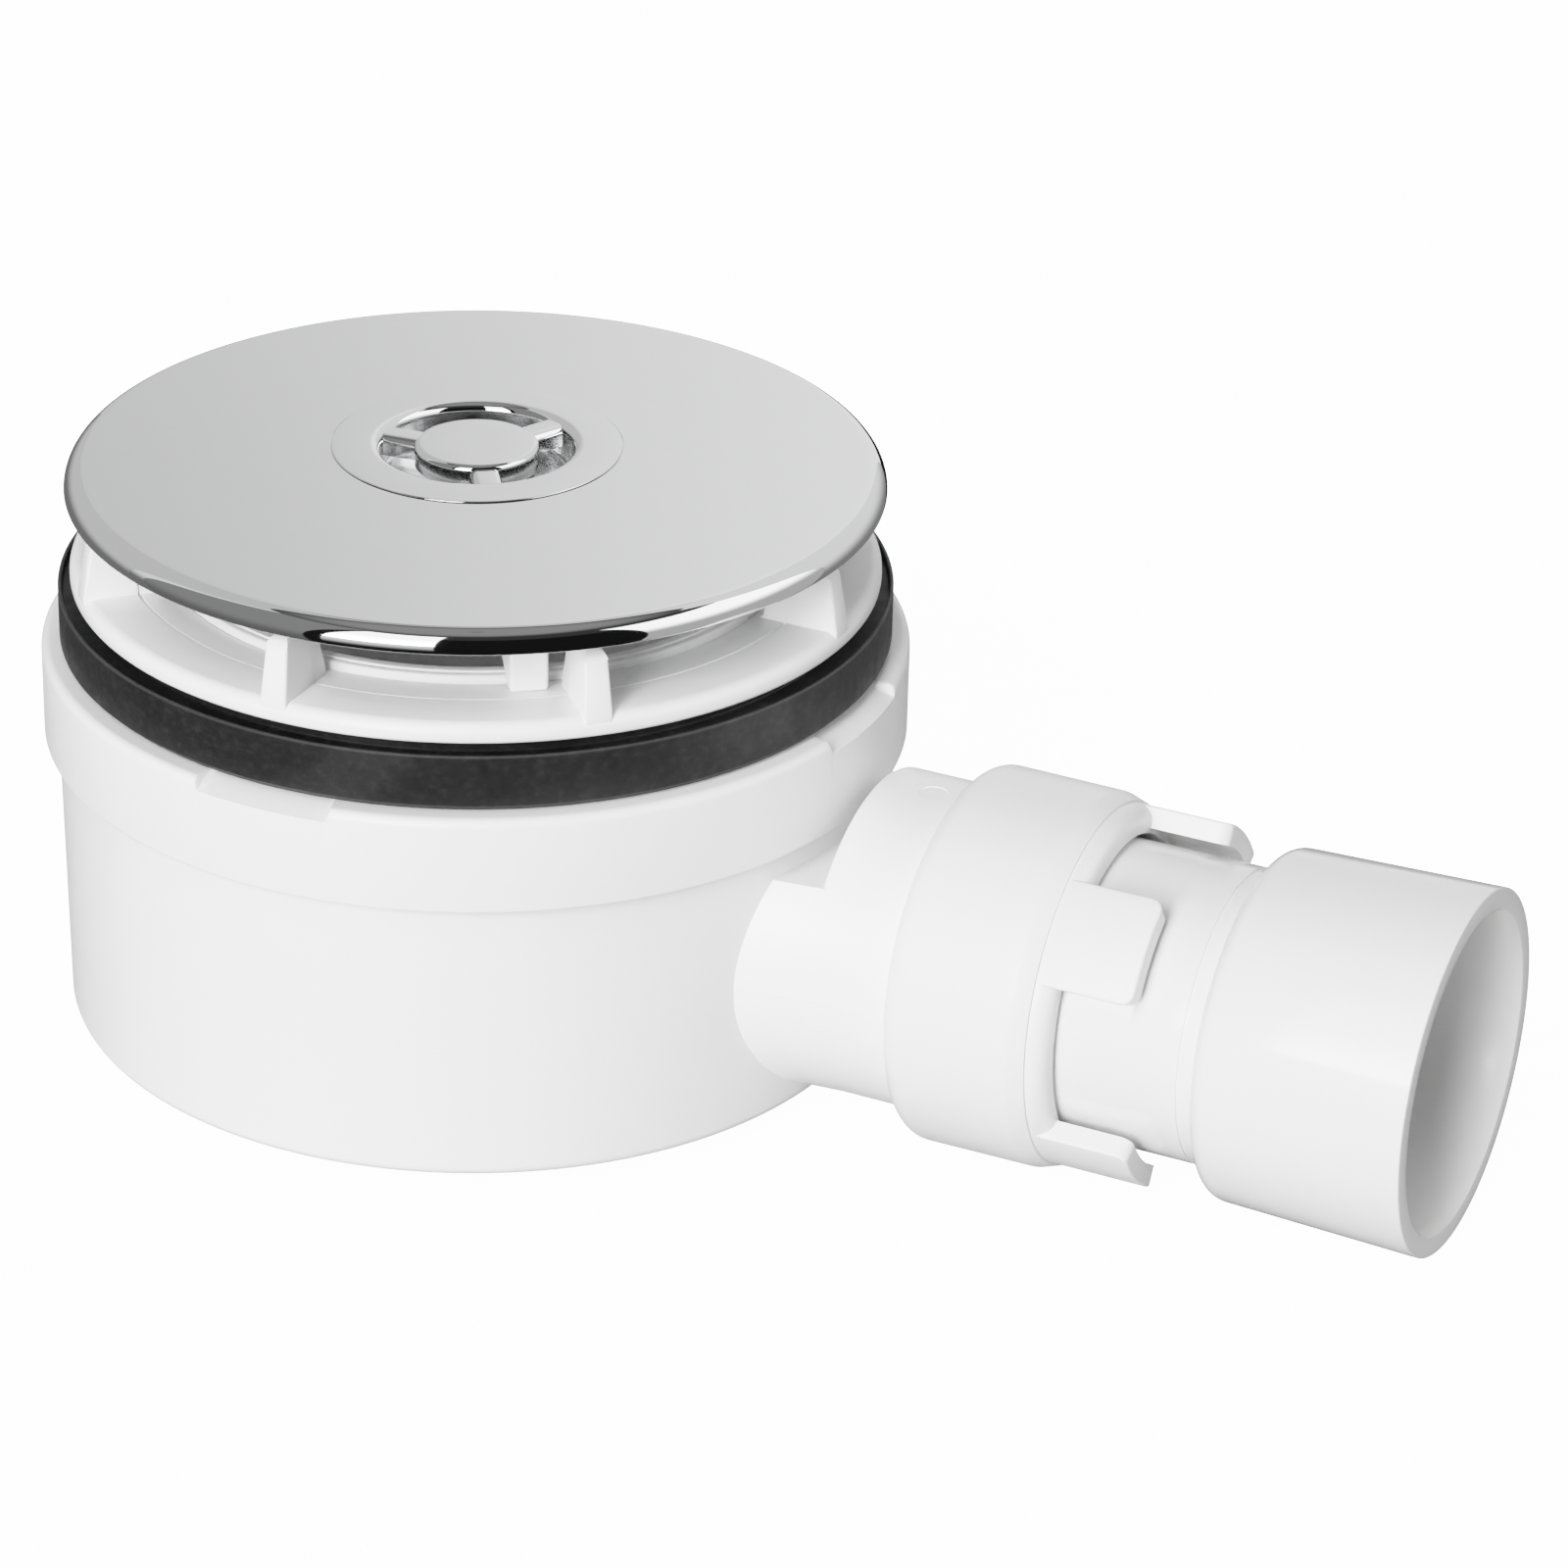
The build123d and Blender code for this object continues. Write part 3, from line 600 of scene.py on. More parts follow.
def make_bowl():
    solid = turned(
        [
            (0, 0, 0),
            (BASE_RADIUS, 0, BASE_ROUND),
            (SHOULDER_RADIUS, SEAM_Z, 0),
            (0, SEAM_Z, 0),
        ],
        closed=False,
    )
    hollow = turned(
        [
            (0, SEAM_Z + CUT_OVERLAP, 0),
            (SHOULDER_RADIUS - BOWL_WALL, SEAM_Z + CUT_OVERLAP, 0),
            (BASE_RADIUS - BOWL_WALL, FLOOR, FLOOR_ROUND),
            (0, FLOOR, 0),
        ],
        closed=False,
    )
    root = flat_topped(flare_root(outlet_bar(NECK_RADIUS, ROOT_START, ROOT_END)), ROOT_TOP)
    neck = turned_on_outlet(
        [
            (NECK_START, 0, 0),
            (NECK_START, NECK_RADIUS, NECK_EDGE_ROUND),
            (NECK_THREAD_START, NECK_RADIUS, 0),
            (NECK_THREAD_START, NECK_THREAD_RADIUS, 0),
            (NECK_END, NECK_THREAD_RADIUS, 0),
            (NECK_END, 0, 0),
        ],
        closed=False,
    )
    root_water = flat_topped(outlet_bar(WATER_RADIUS, ROOT_WATER_START, NECK_STOP), ROOT_WATER_TOP)
    joint_water = turned_on_outlet(
        [
            (NECK_STOP, 0, 0),
            (NECK_STOP, NECK_BORE, 0),
            (CONE_SEAT, NECK_BORE, 0),
            (NECK_END, CONE_SEAT_RADIUS, 0),
            (NECK_END + CUT_OVERLAP, CONE_SEAT_RADIUS, 0),
            (NECK_END + CUT_OVERLAP, 0, 0),
        ],
        closed=False,
    )
    floor_ring = turned(
        [
            (FLOOR_RING_INNER, FLOOR / 2, 0),
            (FLOOR_RING_OUTER, FLOOR / 2, 0),
            (FLOOR_RING_OUTER, FLOOR_RING_TOP, FLOOR_RING_ROUND),
            (FLOOR_RING_INNER, FLOOR_RING_TOP, FLOOR_RING_ROUND),
        ]
    )
    bowl = combined(combined(solid, neck, "UNION"), root, "UNION")
    bowl = combined(bowl, hollow, "DIFFERENCE")
    bowl = combined(bowl, root_water, "DIFFERENCE")
    bowl = combined(bowl, joint_water, "DIFFERENCE")
    bowl = combined(bowl, pin_mark(), "DIFFERENCE")
    bowl = combined(bowl, floor_ring, "UNION")
    return joined(bowl, parting_line())


def make_top_ring():
    band_inner = SHOULDER_RADIUS - BOWL_WALL
    ring = turned(
        [
            (band_inner, SEAM_Z, 0),
            (RING_RADIUS, SEAM_Z, SEAM_EDGE),
            (RING_RADIUS, RIM_Z, RIM_ROUND),
            (NOTCH_INNER, RIM_Z, 0),
            (THREAD_BORE, RIM_Z, 0),
            (THREAD_BORE, THREAD_BOTTOM, 0),
            (THREAD_OUTER, THREAD_BOTTOM, 0),
            (THREAD_OUTER, PLATE_UNDER, PLATE_ROUND),
            (band_inner, PLATE_UNDER, PLATE_ROUND),
        ]
    )
    quarter = FULL_TURN / NOTCH_COUNT
    for step in range(-NOTCH_STEPS, NOTCH_STEPS + 1):
        for side in (-1, 1):
            for i in range(NOTCH_COUNT // 2):
                angle = quarter * i + side * (NOTCH_HALF + NOTCH_BLEND * step / NOTCH_STEPS)
                cut_across(ring, (0, 0, 0), (-sin(angle), cos(angle), 0))
    for v in ring.verts:
        radius = hypot(v.co.x, v.co.y)
        off = abs((atan2(v.co.y, v.co.x) + quarter / 2) % quarter - quarter / 2)
        share = min(max((NOTCH_HALF + NOTCH_BLEND - off) / (2 * NOTCH_BLEND), 0), 1)
        share = share * share * (3 - 2 * share)
        floor = NOTCH_TOP - NOTCH_SLOPE * (radius - NOTCH_INNER)
        if radius > NOTCH_INNER - TOLERANCE and v.co.z > floor:
            v.co.z += share * (floor - v.co.z)
    bmesh.ops.recalc_face_normals(ring, faces=ring.faces)
    return ring


def make_tray_gasket():
    return turned(
        [
            (GASKET_INNER, RIM_Z, 0),
            (GASKET_RADIUS - GASKET_CHAMFER, RIM_Z, 0),
            (GASKET_RADIUS, RIM_Z + GASKET_CHAMFER, RUBBER_ROUND),
            (GASKET_RADIUS, GASKET_TOP, GASKET_LIP_ROUND),
            (GASKET_RADIUS - GASKET_LIP, GASKET_TOP, GASKET_LIP_INNER_ROUND),
            (GASKET_RADIUS - GASKET_LIP, GASKET_TOP - GASKET_GROOVE, RUBBER_ROUND),
            (SEAL_RADIUS, GASKET_TOP - GASKET_GROOVE, RUBBER_ROUND),
            (SEAL_RADIUS, GASKET_TOP, 0),
            (GASKET_INNER, GASKET_TOP, 0),
        ]
    )


def make_flange_seal():
    return turned(
        [
            (GASKET_INNER, GASKET_TOP, 0),
            (SEAL_RADIUS, GASKET_TOP, RUBBER_ROUND),
            (SEAL_RADIUS, FLANGE_UNDER, RUBBER_ROUND),
            (GASKET_INNER, FLANGE_UNDER, 0),
        ]
    )


def rib_top(radius):
    """Height of a rib's sloping top at a radius."""
    return RIB_TIP_Z + RIB_TOP_SLOPE * (RIB_TIP_RADIUS - radius)


def rib_bar(corners, half_width):
    """Upright bar of a rib from its side outline, with drafted sides and a thumb-round top."""
    bar = upright_prism(corners, half_width)
    for step in range(THUMB_STEPS):
        rise = THUMB_ROUND * sin(pi / 2 * step / THUMB_STEPS)
        cut_across(bar, (RIB_TIP_RADIUS, 0, RIB_TIP_Z - THUMB_ROUND + rise), (RIB_TOP_SLOPE, 0, 1))
    for v in bar.verts:
        over = min(max(v.co.z - rib_top(v.co.x) + THUMB_ROUND, 0), THUMB_ROUND)
        drawn_in = RIB_DRAFT * max(v.co.z - FLANGE_TOP, 0) + THUMB_ROUND - sqrt(THUMB_ROUND**2 - over**2)
        v.co.y = copysign(max(half_width - drawn_in, RIB_CREST_HALF), v.co.y)
    ends = [
        e
        for e in bar.edges
        if e.calc_face_angle(0) > CREASE_ANGLE
        and all(FLANGE_UNDER < v.co.z < RIB_TIP_Z - THUMB_ROUND + RIB_END_MARGIN for v in e.verts)
    ]
    round_edges(bar, ends, RIB_EDGE_ROUND, RIB_EDGE_STEPS)
    bmesh.ops.recalc_face_normals(bar, faces=bar.faces)
    return bar


def make_flange_collar():
    inner_top = FLANGE_TOP - WITNESS_STEP
    collar = turned(
        [
            (SKIRT_BORE, SKIRT_BOTTOM, 0),
            (SKIRT_RADIUS, SKIRT_BOTTOM, SKIRT_ROUND),
            (SKIRT_RADIUS, FLANGE_UNDER, 0),
            (FLANGE_RADIUS, FLANGE_UNDER, FLANGE_UNDER_ROUND),
            (FLANGE_RADIUS, FLANGE_TOP, FLANGE_EDGE_ROUND),
            (WITNESS_RADIUS + WITNESS_HALF, FLANGE_TOP, 0),
            (WITNESS_RADIUS, FLANGE_TOP - WITNESS_DEPTH, 0),
            (WITNESS_RADIUS - WITNESS_HALF, inner_top, 0),
            (RIM_SEAT_RADIUS, inner_top, RIM_SEAT_ROUND),
            (RIM_SEAT_RADIUS, RIM_SEAT_Z, 0),
            (SKIRT_BORE, RIM_SEAT_Z, RIM_SEAT_ROUND),
        ]
    )
    lean_reach = RIB_LEAN * (RIB_TIP_Z - FLANGE_TOP)
    lean_top = RIB_INNER + lean_reach
    block_top = WITNESS_RADIUS + lean_reach / 2
    web_outer = WITNESS_RADIUS + RIB_WEB_OVERLAP
    block = rib_bar(
        [
            (WITNESS_RADIUS, RIB_FOOT, 0),
            (RIB_OUTER, RIB_FOOT, 0),
            (RIB_OUTER, FLANGE_TOP, 0),
            (RIB_TIP_RADIUS, RIB_TIP_Z, RIB_TOP_ROUND),
            (block_top, rib_top(block_top), 0),
            (WITNESS_RADIUS, FLANGE_TOP, 0),
        ],
        RIB_HALF,
    )
    web = rib_bar(
        [
            (RIB_INNER - RIB_FOOT_ROUND, RIB_FOOT, 0),
            (web_outer, RIB_FOOT, 0),
            (web_outer, rib_top(web_outer), 0),
            (lean_top, rib_top(lean_top), RIB_WEB_ROUND),
            (RIB_INNER, inner_top, RIB_FOOT_ROUND),
            (RIB_INNER - RIB_FOOT_ROUND, inner_top, 0),
        ],
        RIB_HALF - RIB_STEP,
    )
    return joined(collar, repeat_round(joined(block, web), RIB_COUNT))


def make_dip_tube():
    return turned(
        [
            (DIP_TUBE_INNER, DIP_TUBE_BOTTOM, 0),
            (DIP_TUBE_RADIUS, DIP_TUBE_BOTTOM, 0),
            (DIP_TUBE_RADIUS, DIP_CONE_BOTTOM, FLOOR_ROUND),
            (DIP_BODY_RADIUS, DIP_BODY_BOTTOM, 0),
            (DIP_BODY_RADIUS, DIP_GROOVE_LOW, 0),
            (DIP_GROOVE_FLOOR, DIP_GROOVE_LOW, 0),
            (DIP_GROOVE_FLOOR, DIP_GROOVE_HIGH, 0),
            (DIP_BODY_RADIUS, DIP_GROOVE_HIGH, 0),
            (DIP_BODY_RADIUS, RIM_SEAT_Z, 0),
            (DIP_RIM_RADIUS, RIM_SEAT_Z, 0),
            (DIP_RIM_RADIUS, DIP_BEAD_TOP, DIP_RIM_ROUND),
            (DIP_BEAD_RADIUS, DIP_BEAD_TOP, 0),
            (DIP_BEAD_RADIUS, DIP_RIM_TOP, DIP_BEAD_ROUND),
            (DIP_RIM_MOUTH, DIP_RIM_TOP, DIP_RIM_ROUND),
            (DIP_BODY_INNER, DIP_MOUTH_BOTTOM, 0),
            (DIP_BODY_INNER, DIP_BODY_BOTTOM, FLOOR_ROUND),
            (DIP_TUBE_INNER, DIP_CONE_BOTTOM, FLOOR_ROUND),
        ]
    )


def make_cap_dome():
    under = CAP_TOP - CAP_WALL
    hole = GRIP_SPIGOT_RADIUS + GRIP_FIT
    seat = GRIP_FLANGE_RADIUS + GRIP_FIT
    inside = CAP_RADIUS - CAP_WALL
    fall = CAP_BEND / sqrt(CAP_SPHERE**2 - CAP_BEND**2)
    brow = dome_height(CAP_BEND, CAP_TOP) - fall * (CAP_RADIUS - CAP_BEND)
    section = draw_section(
        [
            (seat, dome_height(seat, CAP_TOP), 0),
            (CAP_BEND, dome_height(CAP_BEND, CAP_TOP), 0),
            (CAP_RADIUS, brow, CAP_EDGE_ROUND),
            (CAP_RADIUS, CAP_BOTTOM, CAP_LIP_EDGE),
            (inside, CAP_BOTTOM, CAP_LIP_EDGE),
            (inside, dome_height(inside, under), CAP_EDGE_ROUND - CAP_WALL),
            (hole, dome_height(hole, under), 0),
            (hole, GRIP_SEAT, 0),
            (seat, GRIP_SEAT, 0),
        ],
        fineness=CHROME_FINENESS,
    )
    for crown in (CAP_TOP, under):
        crowned(section, seat, inside, crown)
    return spin_round(section, steps=CAP_STEPS)


def make_cap_grip():
    section = draw_section(
        [
            (0, GRIP_FLOOR - GRIP_WALL, 0),
            (GRIP_RECESS_RADIUS, GRIP_FLOOR - GRIP_WALL, 0),
            (GRIP_RECESS_RADIUS, GRIP_BOTTOM, 0),
            (GRIP_SPIGOT_RADIUS, GRIP_BOTTOM, 0),
            (GRIP_BARB_RADIUS, GRIP_BARB_TOP, 0),
            (GRIP_SPIGOT_RADIUS, GRIP_BARB_TOP, 0),
            (GRIP_SPIGOT_RADIUS, GRIP_SEAT, 0),
            (GRIP_FLANGE_RADIUS, GRIP_SEAT, 0),
            (GRIP_FLANGE_RADIUS, dome_height(GRIP_FLANGE_RADIUS, GRIP_TOP), GRIP_EDGE_ROUND),
            (GRIP_RECESS_RADIUS, dome_height(GRIP_RECESS_RADIUS, GRIP_TOP), GRIP_MOUTH_ROUND),
            (GRIP_RECESS_RADIUS, GRIP_FLOOR, GRIP_FLOOR_ROUND),
            (0, GRIP_FLOOR, 0),
        ],
        closed=False,
        fineness=CHROME_FINENESS,
    )
    cup = spin_round(section, steps=CAP_STEPS)
    button = draw_section(
        [
            (0, GRIP_DISC_UNDER, 0),
            (GRIP_DISC_RADIUS, GRIP_DISC_UNDER, GRIP_DISC_UNDER_ROUND),
            (GRIP_DISC_RADIUS, GRIP_DISC_TOP - GRIP_DISC_CROWN, GRIP_DISC_ROUND),
            (GRIP_DISC_RADIUS / 2, GRIP_DISC_TOP, GRIP_DISC_CROWN_ROUND),
            (0, GRIP_DISC_TOP, 0),
        ],
        closed=False,
        fineness=CHROME_FINENESS,
    )
    disc = spin_round(button)
    spoke = upright_prism(
        [
            (SPOKE_INNER, GRIP_DISC_UNDER, 0),
            (SPOKE_OUTER, GRIP_DISC_UNDER, 0),
            (SPOKE_OUTER, SPOKE_TOP, 0),
            (SPOKE_INNER, SPOKE_TOP, 0),
        ],
        SPOKE_HALF,
    )
    crests = [
        e
        for e in spoke.edges
        if all(v.co.z > SPOKE_TOP - TOLERANCE for v in e.verts) and e.calc_length() > 3 * SPOKE_HALF
    ]
    round_edges(spoke, crests, SPOKE_ROUND, SPOKE_ROUND_STEPS)
    spokes = turn_by(repeat_round(spoke, SPOKE_COUNT), SPOKE_ANGLE, "Z")
    return joined(cup, disc, spokes)


def make_cap_spider():
    hub = turned(
        [
            (HUB_INNER, HUB_BOTTOM, HUB_ROUND),
            (HUB_OUTER, HUB_BOTTOM, HUB_ROUND),
            (HUB_OUTER, HUB_TOP, HUB_ROUND),
            (HUB_INNER, HUB_TOP, HUB_ROUND),
        ]
    )
    arm = upright_prism(
        [
            (ARM_START, ARM_UNDER, 0),
            (GUSSET_START, ARM_UNDER, 0),
            (LEG_TOE, LEG_FOOT, 0),
            (LEG_OUTER, LEG_FOOT, 0),
            (LEG_OUTER, ARM_TOP, 0),
            (ARM_START, ARM_TOP, 0),
        ],
        ARM_HALF,
    )
    for v in arm.verts:
        if v.co.x > GUSSET_START - TOLERANCE:
            v.co.y += copysign(LEG_FLARE * (LEG_OUTER - v.co.x), v.co.y)
    edges = [
        e
        for e in arm.edges
        if e.calc_face_angle(0) > CREASE_ANGLE and min(v.co.x for v in e.verts) > LEG_TOE - TOLERANCE
    ]
    round_edges(arm, edges, LEG_ROUND)
    return joined(hub, turn_by(repeat_round(arm, SPOKE_COUNT), CARRIER_ANGLE, "Z"))


def make_union_nut():
    shell = turned_on_outlet(
        [
            (NECK_THREAD_START, NUT_BORE, 0),
            (NUT_FACE, NUT_BORE, 0),
            (NUT_FACE, NUT_MOUTH, 0),
            (NUT_END, NUT_MOUTH, NUT_MOUTH_ROUND),
            (NUT_END, NUT_END_RADIUS, NUT_END_ROUND),
            (NUT_LEDGE, NUT_END_RADIUS, 0),
            (NUT_LEDGE, NUT_LEDGE_RADIUS, NUT_LEDGE_ROUND),
            (NUT_LEDGE - NUT_END_ROUND, NUT_RADIUS, NUT_END_ROUND),
            (NECK_THREAD_START, NUT_RADIUS + NUT_FLARE, NUT_SHOULDER_ROUND),
        ]
    )
    half = NUT_END_RADIUS * LUG_ANGLE / 2
    lug = plate(
        [
            (NUT_LEDGE, -half, 0),
            (LUG_END, -half, LUG_CORNER_ROUND),
            (LUG_END, half, LUG_CORNER_ROUND),
            (NUT_LEDGE, half, 0),
        ],
        NUT_END_RADIUS - LUG_INNER,
    )
    rims = [
        e
        for e in lug.edges
        if e.calc_face_angle(0) > CREASE_ANGLE
        and all(v.co.y < TOLERANCE for v in e.verts)
        and max(v.co.x for v in e.verts) > NUT_LEDGE + TOLERANCE
    ]
    round_edges(lug, rims, LUG_EDGE_ROUND)
    for i in range(1, LUG_STRIPS):
        cut_across(lug, (0, 0, half * (2 * i / LUG_STRIPS - 1)), WASTE_AXIS)
    for v in lug.verts:
        radius, angle = NUT_END_RADIUS - v.co.y, v.co.z / NUT_END_RADIUS
        v.co.y, v.co.z = radius * sin(angle), OUTLET_Z + radius * cos(angle)
    bmesh.ops.recalc_face_normals(lug, faces=lug.faces)
    turn_by(lug, LUG_PHASE, "X", OUTLET_CENTRE)
    return joined(shell, repeat_round(lug, LUG_COUNT, OUTLET_AXIS, OUTLET_CENTRE))


def make_outlet_tail():
    return turned_on_outlet(
        [
            (TAIL_START, WATER_RADIUS, 0),
            (SOCKET_STOP, WATER_RADIUS, 0),
            (SOCKET_STOP, SOCKET_BORE, 0),
            (SOCKET_MOUTH - SOCKET_LEAD, SOCKET_BORE, 0),
            (SOCKET_MOUTH, SOCKET_LEAD_RADIUS, SOCKET_LEAD_ROUND),
            (SOCKET_MOUTH, SOCKET_RADIUS, SOCKET_EDGE_ROUND),
            (SOCKET_ROOT, SOCKET_SMALL_RADIUS, SOCKET_SHOULDER_ROUND),
            (SOCKET_ROOT, TAIL_RADIUS - TAIL_RELIEF, SOCKET_ROOT_ROUND),
            (TAIL_RELIEF_START, TAIL_RADIUS - TAIL_RELIEF, 0),
            (TAIL_RELIEF_START, TAIL_RADIUS, 0),
            (TAIL_LINE_X + TAIL_LINE_HALF, TAIL_RADIUS, 0),
            (TAIL_LINE_X, TAIL_RADIUS - TAIL_LINE_DEPTH, 0),
            (TAIL_LINE_X - TAIL_LINE_HALF, TAIL_RADIUS, 0),
            (TAIL_START, TAIL_RADIUS, 0),
        ]
    )


piece(make_bowl(), "bowl_body", BODY_WHITE, "white_body", "bowl")
piece(make_top_ring(), "notched_ring", BODY_WHITE, "white_body", "top_ring")
piece(make_tray_gasket(), "tray_rubber", RUBBER, "black_rubber", "tray_gasket")
piece(make_flange_seal(), "thin_seal", RUBBER, "black_rubber", "flange_seal")
piece(make_flange_collar(), "ribbed_collar", BODY_WHITE, "white_body", "flange_collar")
piece(make_dip_tube(), "lift_out_tube", BODY_WHITE, "white_body", "dip_tube")
piece(make_cap_dome(), "chrome_cap", CHROME, "chrome", "cap_dome")
piece(make_cap_grip(), "chrome_grip", CHROME, "chrome", "cap_grip")
piece(make_cap_spider(), "cap_carrier", BODY_WHITE, "white_body", "cap_spider")
piece(make_union_nut(), "lugged_nut", NUT_WHITE, "white_fitting", "union_nut")
piece(make_outlet_tail(), "tail_and_socket", PIPE_WHITE, "white_fitting", "outlet_tail")

KEPT_FINISHES = {
    "weir_cup": BODY_WHITE,
    "dip_tube_o_ring": RUBBER,
    "cone_seal": RUBBER,
    "slip_washer": PIPE_WHITE,
}
for node, finish in KEPT_FINISHES.items():
    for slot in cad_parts[node].material_slots:
        slot.material = finish


# Stand, light and camera


FRONT_X, FRONT_Y = 0.479, -0.878
FACING = atan2(FRONT_Y, FRONT_X)
CARD_DISTANCE, CEILING_DISTANCE, BOX_DISTANCE = 2.5, 2.6, 0.75
CARD_CENTRE, CARD_ROWS, CARD_STEP, CARD_LEAST = 0.06, 12, 5, 4


def towards(side, height):
    """Direction from the trap at an angle from the camera's side and one above the floor."""
    turn = FACING + radians(side)
    level = cos(radians(height))
    return Vector((level * cos(turn), level * sin(turn), sin(radians(height))))


def glow(name, along, low, high):
    """Emission for a card that changes along a direction, from one (place, strength) to another."""
    material = bpy.data.materials.new(name)
    material.use_nodes = True
    tree = material.node_tree
    tree.nodes.clear()
    coords = tree.nodes.new("ShaderNodeTexCoord")
    place = tree.nodes.new("ShaderNodeVectorMath")
    place.operation = "DOT_PRODUCT"
    place.inputs[1].default_value = along
    change = tree.nodes.new("ShaderNodeMapRange")
    change.interpolation_type = "SMOOTHSTEP"
    for end, (where, strength) in (("Min", low), ("Max", high)):
        change.inputs["From " + end].default_value = where
        change.inputs["To " + end].default_value = strength
    emission = tree.nodes.new("ShaderNodeEmission")
    output = tree.nodes.new("ShaderNodeOutputMaterial")
    tree.links.new(coords.outputs["Object"], place.inputs[0])
    tree.links.new(place.outputs["Value"], change.inputs["Value"])
    tree.links.new(change.outputs["Result"], emission.inputs["Strength"])
    tree.links.new(emission.outputs["Emission"], output.inputs["Surface"])
    return material


def studio_card(name, left, right, low, high, distance, material):
    """Curved card around the trap, seen only in its reflections; angles are from the camera's side."""
    bm = bmesh.new()
    start = bm.verts.new((distance * cos(radians(low)), 0, distance * sin(radians(low))))
    bmesh.ops.spin(bm, geom=[start], axis=(0, -1, 0), angle=radians(high - low), steps=CARD_ROWS)
    bmesh.ops.rotate(bm, matrix=Matrix.Rotation(FACING + radians(left), 3, "Z"), verts=bm.verts)
    bmesh.ops.spin(
        bm,
        geom=bm.verts[:] + bm.edges[:],
        axis=WASTE_AXIS,
        angle=radians(right - left),
        steps=max(CARD_LEAST, round((right - left) / CARD_STEP)),
    )
    bmesh.ops.translate(bm, verts=bm.verts, vec=(0, 0, CARD_CENTRE))
    mesh = bpy.data.meshes.new(name)
    bm.to_mesh(mesh)
    bm.free()
    mesh.materials.append(material)
    card = bpy.data.objects.new(name, mesh)
    bpy.context.scene.collection.objects.link(card)
    card.visible_camera = False
    card.visible_diffuse = False
    card.visible_shadow = False


def wide_light(name, side, height, spread, strength):
    """Broad light from a direction, left out of reflections."""
    light = bpy.data.lights.new(name, "SUN")
    light.energy = pi * strength
    light.angle = radians(spread)
    lamp = bpy.data.objects.new(name, light)
    lamp.matrix_world = towards(side, height).to_track_quat("Z", "Y").to_matrix().to_4x4()
    lamp.visible_glossy = False
    bpy.context.scene.collection.objects.link(lamp)


ACROSS = towards(90, 0)
UPWARD = Vector(WASTE_AXIS)
# Name, left and right sides, low and high edges, distance, and how the glow changes along a direction
STUDIO_CARDS = (
    ("soft_box", -40, -11, 12, 57, BOX_DISTANCE, UPWARD, (0.2, 6.0), (0.54, 1.5)),
    ("box_foot", -40, -11, -12, 11.9, BOX_DISTANCE, UPWARD, (-0.12, 0.03), (0.18, 0.6)),
    ("window", 45, 104.9, -40, 55, CARD_DISTANCE, UPWARD, (0.3, 0.3), (1.4, 1.5)),
    ("right_wall", 105, 155, -40, 62, CARD_DISTANCE, UPWARD, (-0.6, 0.13), (0.8, 0.6)),
    ("left_back", -165, -104.1, -40, 62, CARD_DISTANCE, UPWARD, (-0.4, 0.1), (0.6, 0.39)),
    ("left_edge", -104, -98, -40, 62, CARD_DISTANCE, UPWARD, (-0.2, 0.1), (0.8, 0.55)),
    ("left_side", -97.9, -46, -40, 62, CARD_DISTANCE, UPWARD, (-0.7, 0.075), (0.8, 0.15)),
    ("back_wall", 155.1, 194.9, -4, 50, CARD_DISTANCE, ACROSS, (-0.6, 0.43), (0.6, 0.72)),
    ("back_top", 155.1, 194.9, 50.1, 62, CARD_DISTANCE, ACROSS, (-0.6, 0.2), (0.6, 0.5)),
    ("ceiling", -180, 180, 45, 89, CEILING_DISTANCE, UPWARD, (2.3, 0.02), (2.58, 0.17)),
)
for name, left, right, low, high, distance, *change in STUDIO_CARDS:
    studio_card(name, left, right, low, high, distance, glow(name, *change))

# Name, side, height, spread and strength
WIDE_LIGHTS = (
    ("front_light_12", -28, 12, 24, 0.5),
    ("front_light_34", -28, 34, 24, 0.44),
    ("front_light_62", -28, 62, 24, 0.14),
    ("window_light", 95, 25, 40, 0.2),
    ("back_light", 170, 7, 12, 0.55),
)
for wide in WIDE_LIGHTS:
    wide_light(*wide)

# The floor touches the bowl's far edge and the nut, which hangs lower
NUT_DROP, NUT_LOWEST, BOWL_EDGE = 3.52, 77.8, 56.2
FLOOR_TILT = atan2(NUT_DROP, NUT_LOWEST + BOWL_EDGE)
FLOOR_HALF, FLOOR_CELLS, FLOOR_GAP = 4.0, 8, 0.0001
FLOOR_TONE, FLOOR_ROUGHNESS, FLOOR_LIFT = 0.55, 0.9, 1.8
SKY_STRENGTHS = (None, 0.06), ("Is Camera Ray", 2.2), ("Is Glossy Ray", 0.004)


def make_floor():
    bm = bmesh.new()
    bmesh.ops.create_grid(bm, x_segments=FLOOR_CELLS, y_segments=FLOOR_CELLS, size=FLOOR_HALF)
    bmesh.ops.rotate(bm, matrix=Matrix.Rotation(FLOOR_TILT, 3, "Y"), verts=bm.verts)
    drop = BOWL_EDGE * MM * tan(FLOOR_TILT) + FLOOR_GAP
    bmesh.ops.translate(bm, verts=bm.verts, vec=(0, 0, -drop))
    mesh = bpy.data.meshes.new("floor")
    bm.to_mesh(mesh)
    bm.free()
    mesh.materials.append(pale_floor("pale_floor"))
    floor = bpy.data.objects.new("floor", mesh)
    bpy.context.scene.collection.objects.link(floor)
    floor.visible_glossy = False


